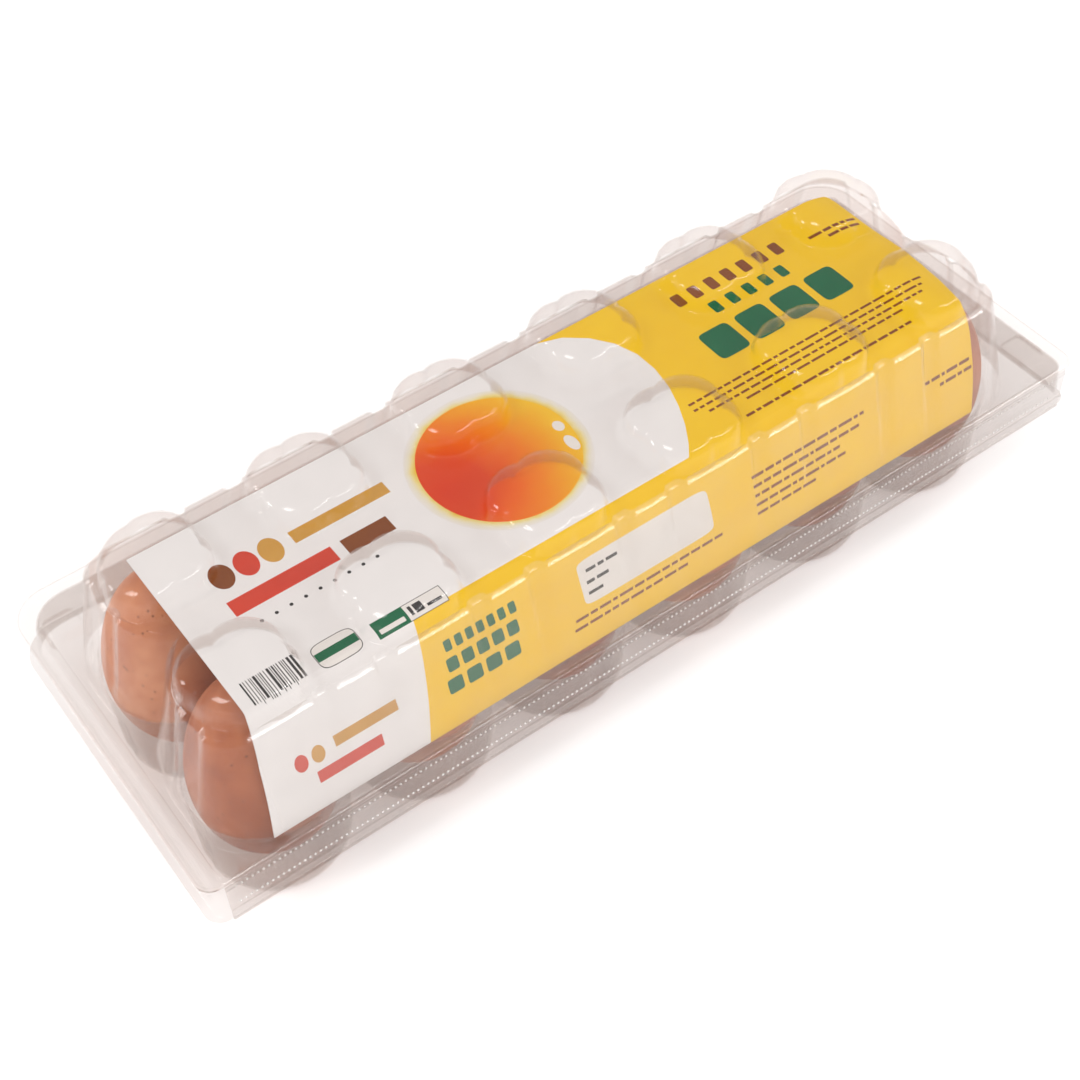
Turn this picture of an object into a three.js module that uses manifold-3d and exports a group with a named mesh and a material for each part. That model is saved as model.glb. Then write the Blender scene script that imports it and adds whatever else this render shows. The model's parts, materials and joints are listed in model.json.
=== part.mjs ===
// A clear two-row egg carton, closed over its eggs, with a printed sheet under the lid.
// Millimetres. X runs along the length, Y from the hinge (front) to the opening lip (rear), Z up.
import * as THREE from 'three';
import Module from 'manifold-3d';

const wasm = await Module();
wasm.setup();

// Cells
const COLUMNS = 6;
const PITCH = 47.0;
const ROW_Y = 22.6;
const END_CELL_X = PITCH * (COLUMNS - 1) / 2;
const SHEET = 0.6;
const FIT = 0.3;

// Flange outline: narrow at the hinge, wide at the opening lip and at the right end
const FLANGE = { left: -149.5, right: 163.5, front: -48.3, rear: 68.5 };
const CORNER_FRONT = 5.0;
const CORNER_REAR = 12.0;

// Lid
const LID_FLANGE_Z = 34.0;
const ROOF_Z = 70.4;
const DOME_TOP_Z = 80.0;
const WALL_FOOT_Y = 46.4;
const WALL_TOP_Y = 38.4;
const WALL_STRAIGHT_X = 124.0;
const TIP_FOOT_X = 141.5;
const TIP_TOP_X = 134.0;
const GROOVE_FOOT_X = 136.5;
const GROOVE_TOP_X = { left: 123.2, right: 129.6 };
const BULGE_SHARES = [0.35, 0.62, 0.84, 1];
const BULGE_FLAT = 2.2;
const BULGE_FULL = 0.75;
const FLUTE_CENTRE = 14.6;
const FLUTE_HALF = 3.1;
const FLUTE_EDGE = 0.9;
const FLUTE_DEPTH_FOOT = 0.05;
const FLUTE_DEPTH_TOP = 1.55;
const DOME_R = 14.8;
const DOME_LOBE = 2.7;
const DOME_LOBE_POWER = 0.8;
const DOME_SIDES = 16;
const DOME_RINGS = [[1.0, ROOF_Z], [0.9, 76.8], [0.62, 79.4]];
const LOCKS = [
  { x: -138.6, y: 50.4, dx: 12.0, dy: 11.0 },
  { x: 151.5, y: 51.5, dx: 11.0, dy: 13.0 },
  { x: 151.5, y: -35.5, dx: 11.0, dy: 14.0 },
];
const LOCK_HEIGHT = 3.2;
const LOCK_INSET = 1.6;

// Tray
const TRAY_FLANGE_Z = 18.0;
const LAND_Z = LID_FLANGE_Z - SHEET - FIT;
const SKIRT_FOOT_INSET = { left: 2.4, right: 2.4, front: 0.6, rear: 2.4 };
const SKIRT_TOP_INSET = { left: 4.0, right: 4.0, front: 0.9, rear: 4.0 };
const CUP_RINGS = [[21.6, LAND_Z], [20.6, 6.6], [17.5, SHEET], [6.0, SHEET]];
const BOSS_Z = 5.2;
const CUP_SIDES = 16;
const HINGE = {
  x0: -143.8, x1: 157.8, y0: -49.1, y1: -48.0, z0: 17.62, z1: 33.0, crease: 23.0, bow: 0.3, lean: 0.45,
};

// Printed sheet: its section from the rear edge over the fold and down the front flap
const LABEL_LEFT = -121.2;
const LABEL_RIGHT = 127.4;
const LABEL_T = 0.3;
const LABEL_Z = 69.2;
const LABEL_REAR_Y = 31.5;
const LABEL_FOLD_Y = -30.0;
const FLAP = [
  [LABEL_FOLD_Y, LABEL_Z], [-33.2, 66.3], [-36.4, 61.5], [-39.0, 55.5], [-41.0, 50.0],
  [-42.85, 43.0], [-44.1, 36.8],
];

// Eggs, pointed end up: height, greatest diameter, taper, lean and turn in degrees
const EGG_TIP_Z = BOSS_Z + FIT;
const EGG_SIDES = 14;
const EGG_STEPS = 10;
const EGG_COLOUR = { hue: 0.05, hueStep: 0.004, saturation: 0.48, lightness: 0.46, lightStep: 0.015 };
const EGGS = {
  front: [
    [62.6, 41.1, 0.13, 0.8, 20], [61.4, 40.6, 0.10, 1.1, 140], [62.0, 41.2, 0.15, 0.5, 75],
    [60.8, 40.9, 0.12, 1.0, 200], [62.7, 40.4, 0.11, 0.7, 310], [61.7, 41.1, 0.14, 0.9, 255],
  ],
  rear: [
    [61.9, 41.2, 0.16, 0.9, 110], [62.5, 40.5, 0.12, 0.6, 35], [61.1, 41.0, 0.10, 1.0, 290],
    [62.3, 40.8, 0.14, 0.8, 170], [60.9, 41.2, 0.13, 1.1, 60], [62.6, 40.7, 0.12, 0.7, 225],
  ],
};

// Limits of the surface builder: smallest turn, shares that hold a far face near, longest offset
const MIN_TURN = 0.02;
const MEAN_SHARE = 0.02;
const STEADY_SHARE = 1e-4;
const MAX_OFFSET = 2.2;

const lerp = (a, b, t) => a + (b - a) * t;
const columnX = (column) => (column - (COLUMNS - 1) / 2) * PITCH;

// An open surface that is turned into one closed sheet of even thickness
class Sheet {
  constructor() {
    this.points = [];
    this.triangles = [];
    this.lookup = new Map();
  }

  vertex([x, y, z]) {
    const key = [x, y, z].map((value) => Math.round(value * 1000)).join(' ');
    if (!this.lookup.has(key)) {
      this.lookup.set(key, this.points.length);
      this.points.push([x, y, z]);
    }
    return this.lookup.get(key);
  }

  triangle(a, b, c) {
    const ids = [this.vertex(a), this.vertex(b), this.vertex(c)];
    if (new Set(ids).size === 3) {
      this.triangles.push(ids);
    }
  }

  // Two closed loops with the same count, the outer one first, both turning left
  band(outer, inner) {
    outer.forEach((point, i) => {
      const next = (i + 1) % outer.length;
      this.triangle(point, outer[next], inner[next]);
      this.triangle(point, inner[next], inner[i]);
    });
  }

  fan(loop, centre) {
    loop.forEach((point, i) => this.triangle(point, loop[(i + 1) % loop.length], centre));
  }

  // Two closed loops with different counts, joined by the shortest edges that fold nothing over
  stitch(outer, inner) {
    const gap = (a, b) => Math.hypot(a[0] - b[0], a[1] - b[1]);
    const turn = (a, b, c) => (b[0] - a[0]) * (c[1] - a[1]) - (b[1] - a[1]) * (c[0] - a[0]);
    const nearest = inner.reduce((best, point, i) => (
      gap(point, outer[0]) < gap(inner[best], outer[0]) ? i : best), 0);
    const from = (i) => outer[i % outer.length];
    const to = (j) => inner[(j + nearest) % inner.length];
    const width = inner.length + 1;
    const cost = new Float64Array((outer.length + 1) * width).fill(Infinity);
    const step = new Uint8Array(cost.length);
    cost[0] = 0;
    const offer = (i, j, value, kind) => {
      if (value < cost[i * width + j]) {
        cost[i * width + j] = value;
        step[i * width + j] = kind;
      }
    };
    for (let i = 0; i <= outer.length; i += 1) {
      for (let j = 0; j <= inner.length; j += 1) {
        const here = cost[i * width + j];
        if (i < outer.length && turn(from(i), from(i + 1), to(j)) > MIN_TURN) {
          offer(i + 1, j, here + gap(from(i + 1), to(j)) ** 2, 1);
        }
        if (j < inner.length && turn(from(i), to(j + 1), to(j)) > MIN_TURN) {
          offer(i, j + 1, here + gap(from(i), to(j + 1)) ** 2, 2);
        }
      }
    }
    let i = outer.length;
    let j = inner.length;
    while (i > 0 || j > 0) {
      if (step[i * width + j] === 1) {
        this.triangle(from(i - 1), from(i), to(j));
        i -= 1;
      } else {
        this.triangle(from(i), to(j), to(j - 1));
        j -= 1;
      }
    }
  }

  // The far face lies one thickness behind every plane that meets at a point
  backPoint(index, normals, thickness) {
    const list = normals[index];
    const m = new THREE.Matrix3().set(0, 0, 0, 0, 0, 0, 0, 0, 0);
    const e = m.elements;
    const right = new THREE.Vector3();
    const mean = new THREE.Vector3();
    list.forEach((n) => mean.addScaledVector(n, n.weight));
    mean.normalize();
    [...list, Object.assign(mean.clone(), { weight: MEAN_SHARE })].forEach((n) => {
      const values = [n.x, n.y, n.z];
      values.forEach((row, r) => values.forEach((column, c) => {
        e[c * 3 + r] += n.weight * row * column;
      }));
      right.addScaledVector(n, n.weight * thickness);
    });
    [0, 4, 8].forEach((k) => {
      e[k] += STEADY_SHARE;
    });
    const offset = right.applyMatrix3(m.invert());
    if (offset.length() > MAX_OFFSET * thickness) {
      offset.setLength(MAX_OFFSET * thickness);
    }
    const [x, y, z] = this.points[index];
    return [x - offset.x, y - offset.y, z - offset.z];
  }

  solid(thickness) {
    const normals = this.points.map(() => []);
    this.triangles.forEach((ids) => {
      const [a, b, c] = ids.map((id) => new THREE.Vector3(...this.points[id]));
      const normal = b.clone().sub(a).cross(c.clone().sub(a)).normalize();
      ids.forEach((id, k) => {
        const corner = new THREE.Vector3(...this.points[id]);
        const to = (other) => new THREE.Vector3(...this.points[ids[other]]).sub(corner);
        const weight = to((k + 1) % 3).angleTo(to((k + 2) % 3));
        normals[id].push(Object.assign(normal.clone(), { weight }));
      });
    });
    const count = this.points.length;
    const back = this.points.map((_, i) => this.backPoint(i, normals, thickness));
    const faces = [];
    const edges = new Map();
    this.triangles.forEach(([a, b, c]) => {
      faces.push([a, b, c], [a + count, c + count, b + count]);
      [[a, b], [b, c], [c, a]].forEach(([p, q]) => edges.set(`${p} ${q}`, [p, q]));
    });
    edges.forEach(([p, q]) => {
      if (!edges.has(`${q} ${p}`)) {
        faces.push([p, p + count, q + count], [p, q + count, q]);
      }
    });
    return { points: [...this.points, ...back], faces };
  }
}

function geometryOf({ points, faces }) {
  const geometry = new THREE.BufferGeometry();
  geometry.setAttribute('position', new THREE.Float32BufferAttribute(points.flat(), 3));
  geometry.setIndex(faces.flat());
  geometry.computeVertexNormals();
  return geometry;
}

function toManifold({ points, faces }) {
  return new wasm.Manifold(new wasm.Mesh({
    numProp: 3,
    vertProperties: new Float32Array(points.flat()),
    triVerts: new Uint32Array(faces.flat()),
  }));
}

function fromManifold(manifold) {
  const mesh = manifold.getMesh();
  const points = [];
  for (let i = 0; i < mesh.vertProperties.length; i += mesh.numProp) {
    points.push(Array.from(mesh.vertProperties.slice(i, i + 3)));
  }
  const faces = [];
  for (let i = 0; i < mesh.triVerts.length; i += 3) {
    faces.push(Array.from(mesh.triVerts.slice(i, i + 3)));
  }
  return { points, faces };
}

// The flange outline moved in by an inset on each side, with its four rounded corners
function flangeLoop(z, inset = { left: 0, right: 0, front: 0, rear: 0 }) {
  const left = FLANGE.left + inset.left;
  const right = FLANGE.right - inset.right;
  const front = FLANGE.front + inset.front;
  const rear = FLANGE.rear - inset.rear;
  const loop = [];
  const corner = (x, y, radius, from) => {
    for (let step = 0; step <= 3; step += 1) {
      const angle = from + step * Math.PI / 6;
      loop.push([x + radius * Math.cos(angle), y + radius * Math.sin(angle), z]);
    }
  };
  const along = (x0, y0, x1, y1, parts) => {
    for (let part = 1; part < parts; part += 1) {
      loop.push([lerp(x0, x1, part / parts), lerp(y0, y1, part / parts), z]);
    }
  };
  corner(left + CORNER_FRONT, front + CORNER_FRONT, CORNER_FRONT, Math.PI);
  along(left + CORNER_FRONT, front, right - CORNER_FRONT, front, COLUMNS);
  corner(right - CORNER_FRONT, front + CORNER_FRONT, CORNER_FRONT, -Math.PI / 2);
  along(right, front + CORNER_FRONT, right, rear - CORNER_REAR, 2);
  corner(right - CORNER_REAR, rear - CORNER_REAR, CORNER_REAR, 0);
  along(right - CORNER_REAR, rear, left + CORNER_REAR, rear, COLUMNS);
  corner(left + CORNER_REAR, rear - CORNER_REAR, CORNER_REAR, Math.PI / 2);
  along(left, rear - CORNER_REAR, left, front + CORNER_FRONT, 2);
  return loop;
}

// Depth of the flutes in the long walls at a distance along the length; h is 0 at the foot
function fluteDepth(x, h) {
  const column = Math.round(x / PITCH + (COLUMNS - 1) / 2);
  const fromCell = Math.abs(x - columnX(column));
  const fromFlute = Math.abs(fromCell - FLUTE_CENTRE);
  const depth = lerp(FLUTE_DEPTH_FOOT, FLUTE_DEPTH_TOP, h);
  return depth * Math.min(1, Math.max(0, (FLUTE_HALF - fromFlute) / FLUTE_EDGE));
}

// Stations along one long wall, cell by cell, from -X to +X
function wallStations() {
  const marks = [
    FLUTE_CENTRE - FLUTE_HALF, FLUTE_CENTRE - FLUTE_HALF + FLUTE_EDGE,
    FLUTE_CENTRE + FLUTE_HALF - FLUTE_EDGE, FLUTE_CENTRE + FLUTE_HALF,
  ];
  const list = [];
  for (let column = 0; column < COLUMNS; column += 1) {
    const offsets = [-PITCH / 2, ...marks.map((m) => -m).reverse(), 0, ...marks, PITCH / 2];
    offsets.forEach((offset) => list.push(columnX(column) + offset));
  }
  const inside = list.filter((x) => Math.abs(x) < END_CELL_X + 1);
  return [...new Set([-WALL_STRAIGHT_X, ...inside, WALL_STRAIGHT_X].map((x) => x.toFixed(3)))]
    .map(Number);
}

// One end of the wall from its front corner to its rear one, drawn for the right end
function endPoints(h, grooveTop) {
  const wallY = lerp(WALL_FOOT_Y, WALL_TOP_Y, h);
  const tip = lerp(TIP_FOOT_X, TIP_TOP_X, h);
  const groove = lerp(GROOVE_FOOT_X, grooveTop, h);
  const radius = tip - WALL_STRAIGHT_X;
  const quarter = [];
  for (let step = 1; step <= 3; step += 1) {
    const angle = step * Math.PI / 6;
    quarter.push([
      WALL_STRAIGHT_X + radius * Math.sin(angle),
      wallY - radius * (1 - Math.cos(angle)),
    ]);
  }
  BULGE_SHARES.forEach((u) => {
    const bulge = (1 - u ** BULGE_FLAT) ** BULGE_FULL;
    quarter.push([lerp(groove, tip, bulge), ROW_Y * (1 - u)]);
  });
  const front = quarter.map(([x, y]) => [x, -y]);
  const rear = quarter.slice(0, -1).reverse();
  return [...front, ...rear];
}

// The lid's wall outline at height share h, turning left from the front-left corner
function wallLoop(h) {
  const z = lerp(LID_FLANGE_Z, ROOF_Z, h);
  const wallY = lerp(WALL_FOOT_Y, WALL_TOP_Y, h);
  const stations = wallStations();
  const front = stations.map((x) => [x, -(wallY - fluteDepth(x, h)), z]);
  const rear = stations.map((x) => [x, wallY - fluteDepth(x, h), z]).reverse();
  const right = endPoints(h, GROOVE_TOP_X.right).map(([x, y]) => [x, y, z]);
  const left = endPoints(h, GROOVE_TOP_X.left).map(([x, y]) => [-x, -y, z]);
  return [...front, ...right, ...rear, ...left];
}

// Lobed dome over one cell; the lobe at an outer corner of the pack is held in
function domeLoop(x0, y0, scale, z) {
  const loop = [];
  for (let step = 0; step < DOME_SIDES; step += 1) {
    const angle = step * 2 * Math.PI / DOME_SIDES;
    const outward = Math.abs(x0) > END_CELL_X - 1 && Math.cos(angle) * x0 > 0
      && Math.sin(angle) * y0 > 0.1;
    const lobe = outward ? 0 : DOME_LOBE * Math.abs(Math.sin(2 * angle)) ** DOME_LOBE_POWER;
    const radius = scale * (DOME_R + lobe);
    loop.push([x0 + radius * Math.cos(angle), y0 + radius * Math.sin(angle), z]);
  }
  return loop;
}

// The share of the roof that belongs to one cell, turning left
function roofCell(column, side) {
  const first = column === 0;
  const last = column === COLUMNS - 1;
  const x0 = first ? -GROOVE_TOP_X.left : columnX(column) - PITCH / 2;
  const x1 = last ? GROOVE_TOP_X.right : columnX(column) + PITCH / 2;
  const outline = wallLoop(1);
  const groove = outline.findIndex(([x, y]) => x < 0 && Math.abs(y) < 0.001);
  const turned = outline.map((_, i) => outline[(i + groove) % outline.length]);
  const edge = turned.filter(([x, y]) => y * side > 0.001
    && (first || x > x0 - 0.001) && (last || x < x1 + 0.001));
  const middle = [0, 0.25, 0.5, 0.75, 1].map((t) => [lerp(x0, x1, t), 0, ROOF_Z]);
  if (side < 0) {
    middle.reverse();
  }
  const halfway = (a, b) => [[lerp(a[0], b[0], 0.5), lerp(a[1], b[1], 0.5), ROOF_Z]];
  const opens = side > 0 ? !last : !first;
  const closes = side > 0 ? !first : !last;
  return [
    ...middle,
    ...(opens ? halfway(middle[middle.length - 1], edge[0]) : []),
    ...edge,
    ...(closes ? halfway(edge[edge.length - 1], middle[0]) : []),
  ];
}

function frustum({ x, y, dx, dy }, z0, z1, inset) {
  const points = [];
  [[z0, 0], [z1, inset]].forEach(([z, take]) => {
    const hx = dx / 2 - take;
    const hy = dy / 2 - take;
    points.push([x - hx, y - hy, z], [x + hx, y - hy, z], [x + hx, y + hy, z], [x - hx, y + hy, z]);
  });
  const faces = [[0, 2, 1], [0, 3, 2], [4, 5, 6], [4, 6, 7]];
  for (let i = 0; i < 4; i += 1) {
    const j = (i + 1) % 4;
    faces.push([i, j, j + 4], [i, j + 4, i + 4]);
  }
  return { points, faces };
}

function lidGeometry() {
  const sheet = new Sheet();
  sheet.stitch(flangeLoop(LID_FLANGE_Z), wallLoop(0));
  sheet.band(wallLoop(0), wallLoop(1));
  for (let column = 0; column < COLUMNS; column += 1) {
    [-1, 1].forEach((side) => {
      const x0 = columnX(column);
      const y0 = side * ROW_Y;
      const rings = DOME_RINGS.map(([scale, z]) => domeLoop(x0, y0, scale, z));
      sheet.stitch(roofCell(column, side), rings[0]);
      rings.slice(1).forEach((ring, i) => sheet.band(rings[i], ring));
      sheet.fan(rings[rings.length - 1], [x0, y0, DOME_TOP_Z]);
    });
  }
  let lid = toManifold(sheet.solid(SHEET));
  LOCKS.forEach((lock) => {
    const foot = LID_FLANGE_Z - SHEET / 2;
    lid = lid.add(toManifold(frustum(lock, foot, LID_FLANGE_Z + LOCK_HEIGHT, LOCK_INSET)));
  });
  return geometryOf(fromManifold(lid));
}

function cellSquare(column, side) {
  const x0 = columnX(column) - PITCH / 2;
  const x1 = columnX(column) + PITCH / 2;
  const y0 = side > 0 ? 0 : -2 * ROW_Y;
  const y1 = side > 0 ? 2 * ROW_Y : 0;
  const xm = (x0 + x1) / 2;
  const ym = (y0 + y1) / 2;
  return [[x0, y0], [xm, y0], [x1, y0], [x1, ym], [x1, y1], [xm, y1], [x0, y1], [x0, ym]]
    .map(([x, y]) => [x, y, LAND_Z]);
}

// The outline of all the cells together, turning left
function cellBlock() {
  const half = COLUMNS * PITCH / 2;
  const loop = [];
  for (let k = 0; k < 2 * COLUMNS; k += 1) {
    loop.push([-half + k * PITCH / 2, -2 * ROW_Y, LAND_Z]);
  }
  [-2, -1, 0, 1].forEach((k) => loop.push([half, k * ROW_Y, LAND_Z]));
  for (let k = 0; k < 2 * COLUMNS; k += 1) {
    loop.push([half - k * PITCH / 2, 2 * ROW_Y, LAND_Z]);
  }
  [2, 1, 0, -1].forEach((k) => loop.push([-half, k * ROW_Y, LAND_Z]));
  return loop;
}

function circle(x0, y0, radius, z) {
  const loop = [];
  for (let step = 0; step < CUP_SIDES; step += 1) {
    const angle = step * 2 * Math.PI / CUP_SIDES;
    loop.push([x0 + radius * Math.cos(angle), y0 + radius * Math.sin(angle), z]);
  }
  return loop;
}

// The hinge panel stands on the tray's front edge and bends slightly at its lower crease
function hingePanel() {
  const { x0, x1, y0, y1, z0, z1, crease, bow, lean } = HINGE;
  const section = [
    [y0, z0], [y1, z0], [y1 - bow / 2, crease], [y1 - lean, z1], [y0, z1], [y0 - bow, crease],
  ];
  const points = [];
  [x0, x1].forEach((x) => section.forEach(([y, z]) => points.push([x, y, z])));
  const count = section.length;
  const faces = [];
  for (let i = 1; i < count - 1; i += 1) {
    faces.push([0, i + 1, i], [count, count + i, count + i + 1]);
  }
  for (let i = 0; i < count; i += 1) {
    const j = (i + 1) % count;
    faces.push([i, j, j + count], [i, j + count, i + count]);
  }
  return { points, faces };
}

function trayGeometry() {
  const sheet = new Sheet();
  const foot = flangeLoop(TRAY_FLANGE_Z, SKIRT_FOOT_INSET);
  const top = flangeLoop(LAND_Z, SKIRT_TOP_INSET);
  sheet.band(flangeLoop(TRAY_FLANGE_Z), foot);
  sheet.band(foot, top);
  sheet.stitch(top, cellBlock());
  for (let column = 0; column < COLUMNS; column += 1) {
    [-1, 1].forEach((side) => {
      const x0 = columnX(column);
      const y0 = side * ROW_Y;
      const rings = CUP_RINGS.map(([radius, z]) => circle(x0, y0, radius, z));
      sheet.stitch(cellSquare(column, side), rings[0]);
      rings.slice(1).forEach((ring, i) => sheet.band(rings[i], ring));
      sheet.fan(rings[rings.length - 1], [x0, y0, BOSS_Z]);
    });
  }
  const tray = toManifold(sheet.solid(SHEET)).add(toManifold(hingePanel()));
  return geometryOf(fromManifold(tray));
}

function labelGeometry() {
  const sheet = new Sheet();
  const section = [[LABEL_REAR_Y, LABEL_Z], ...FLAP];
  section.slice(1).forEach(([y, z], i) => {
    const [py, pz] = section[i];
    const a = [LABEL_LEFT, py, pz];
    const b = [LABEL_RIGHT, py, pz];
    const c = [LABEL_RIGHT, y, z];
    const d = [LABEL_LEFT, y, z];
    sheet.triangle(a, d, c);
    sheet.triangle(a, c, b);
  });
  return geometryOf(sheet.solid(LABEL_T));
}

function eggGeometry(height, diameter, taper) {
  const half = height / 2;
  const profile = [];
  for (let step = 0; step <= EGG_STEPS; step += 1) {
    const angle = -Math.PI / 2 + Math.PI * step / EGG_STEPS;
    const s = Math.sin(angle);
    const radius = Math.abs(Math.cos(angle)) * (1 - taper * s) / (1 + taper * taper / 2);
    const ends = step === 0 || step === EGG_STEPS;
    profile.push(new THREE.Vector2(ends ? 0 : radius * diameter / 2, half + s * half));
  }
  const geometry = new THREE.LatheGeometry(profile, EGG_SIDES);
  geometry.rotateX(Math.PI / 2);
  return geometry;
}

function mesh(name, geometry, color, options = {}) {
  const material = new THREE.MeshStandardMaterial({ color, ...options });
  const object = new THREE.Mesh(geometry, material);
  object.name = name;
  return object;
}

function eggRow(name, side) {
  const row = new THREE.Group();
  row.name = `${name}_row`;
  EGGS[name].forEach(([height, diameter, taper, lean, turn], column) => {
    const { hue, hueStep, saturation, lightness, lightStep } = EGG_COLOUR;
    const shade = new THREE.Color().setHSL(
      hue + hueStep * (column % 3), saturation, lightness + lightStep * (column % 2));
    const egg = mesh(`egg_${name}_${column + 1}`, eggGeometry(height, diameter, taper), shade,
      { roughness: 0.55 });
    egg.position.set(columnX(column), side * ROW_Y, EGG_TIP_Z);
    egg.rotation.set(0, THREE.MathUtils.degToRad(lean), THREE.MathUtils.degToRad(turn), 'ZYX');
    row.add(egg);
  });
  return row;
}

const part = new THREE.Group();
const clear = { transparent: true, opacity: 0.3, roughness: 0.08 };
part.add(mesh('tray', trayGeometry(), 0xe6e3e8, clear));
part.add(mesh('lid', lidGeometry(), 0xe6e3e8, clear));
part.add(mesh('label', labelGeometry(), 0xe9e4d6, { roughness: 0.6 }));
part.add(eggRow('front', -1));
part.add(eggRow('rear', 1));

// The origin sits under the middle of the whole outline
const centreX = (FLANGE.left + FLANGE.right) / 2;
const centreY = (HINGE.y0 - HINGE.bow + FLANGE.rear) / 2;
part.children.forEach((child) => child.position.add(new THREE.Vector3(-centreX, -centreY, 0)));

export default part;
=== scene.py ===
"""Looks of a clear two-row egg carton, closed over twelve brown eggs, with a printed sheet under its lid.

Sizes are in millimetres in the drawing's own frame, centred between the two rows of cells: X runs
along the pack, Y from the hinge (front) to the opening lip (rear), Z up. to_row() gives metres in the
row frame.
"""

import json
import logging
import math
import random
from dataclasses import dataclass, field
from enum import Enum
from typing import Iterable, Sequence

import bpy
from mathutils import Matrix, Vector
from mathutils.geometry import delaunay_2d_cdt
from mathutils.noise import noise

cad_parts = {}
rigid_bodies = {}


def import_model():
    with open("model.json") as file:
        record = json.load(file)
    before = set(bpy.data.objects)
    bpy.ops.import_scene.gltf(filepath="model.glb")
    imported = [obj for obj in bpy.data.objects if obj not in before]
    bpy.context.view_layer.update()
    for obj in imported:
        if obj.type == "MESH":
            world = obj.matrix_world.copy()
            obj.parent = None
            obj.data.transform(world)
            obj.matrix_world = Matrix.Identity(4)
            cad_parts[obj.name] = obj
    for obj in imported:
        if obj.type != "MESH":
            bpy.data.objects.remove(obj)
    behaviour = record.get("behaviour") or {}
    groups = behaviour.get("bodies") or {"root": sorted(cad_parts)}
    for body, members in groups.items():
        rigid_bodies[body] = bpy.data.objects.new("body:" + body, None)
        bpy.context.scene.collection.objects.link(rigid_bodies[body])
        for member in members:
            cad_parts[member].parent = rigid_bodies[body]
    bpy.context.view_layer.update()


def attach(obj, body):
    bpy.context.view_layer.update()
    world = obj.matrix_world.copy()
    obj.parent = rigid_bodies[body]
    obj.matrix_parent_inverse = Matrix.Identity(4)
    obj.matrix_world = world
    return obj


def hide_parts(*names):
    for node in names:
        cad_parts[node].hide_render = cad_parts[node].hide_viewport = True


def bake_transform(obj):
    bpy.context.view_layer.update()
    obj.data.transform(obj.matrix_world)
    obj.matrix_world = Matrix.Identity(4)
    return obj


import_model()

Flat = tuple[float, float]
Point = tuple[float, float, float]

# Height, inset, and inset at the front
RimStep = tuple[float, float, float]

LOG = logging.getLogger("egg_carton")

# The middle of the pack's footprint in the drawing, which is the origin of the row frame
ORIGIN = (7.0, 9.55)

# Cells
COLUMNS = 6
PITCH = 47.0
ROW_Y = 22.6
END_CELL_X = PITCH * (COLUMNS - 1) / 2


class Body(Enum):
    """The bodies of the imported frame."""

    TRAY = "tray"
    LID = "lid"


class Slot(Enum):
    """The record's material slots."""

    CLEAR = "clear_sheet"
    PAPER = "printed_paper"
    LIGHT = "egg_brown_light"
    BROWN = "egg_brown"
    DARK = "egg_brown_dark"


def to_row(point: Sequence[float]) -> Point:
    """A point of the drawing in metres in the row frame."""
    return ((point[0] - ORIGIN[0]) / 1000, (point[1] - ORIGIN[1]) / 1000, point[2] / 1000)


def lerp(a: float, b: float, t: float) -> float:
    """The value at share t between a and b."""
    return a + (b - a) * t


def smooth(t: float) -> float:
    """A soft step from 0 to 1."""
    t = min(1.0, max(0.0, t))
    return t * t * (3 - 2 * t)


def column_x(column: float) -> float:
    """The middle of a column of cells."""
    return (column - (COLUMNS - 1) / 2) * PITCH


def on_rounded_box(turn: float, power: float) -> Flat:
    """A point on a circle of radius 1, pushed out towards a square.

    Args:
        turn: Share of a full turn, from +X.
        power: 1 for a circle, less for a squarer outline.

    Returns:
        The point.
    """
    angle = 2 * math.pi * turn
    c, s = math.cos(angle), math.sin(angle)
    return (math.copysign(abs(c) ** power, c), math.copysign(abs(s) ** power, s))


def cells() -> Iterable[Flat]:
    """Goes through the cells, front row first.

    Yields:
        X and Y of the cell's middle.
    """
    for side in (-1, 1):
        for column in range(COLUMNS):
            yield column_x(column), side * ROW_Y


def linear(code: str, alpha: float = 1.0) -> tuple[float, float, float, float]:
    """Turns an sRGB hex code to linear colour.

    Args:
        code: Six hex digits.
        alpha: Opacity.

    Returns:
        Red, green, blue and alpha.
    """
    values = [int(code[i:i + 2], 16) / 255 for i in (0, 2, 4)]
    r, g, b = [v / 12.92 if v <= 0.04045 else ((v + 0.055) / 1.055) ** 2.4 for v in values]
    return (r, g, b, alpha)


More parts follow.
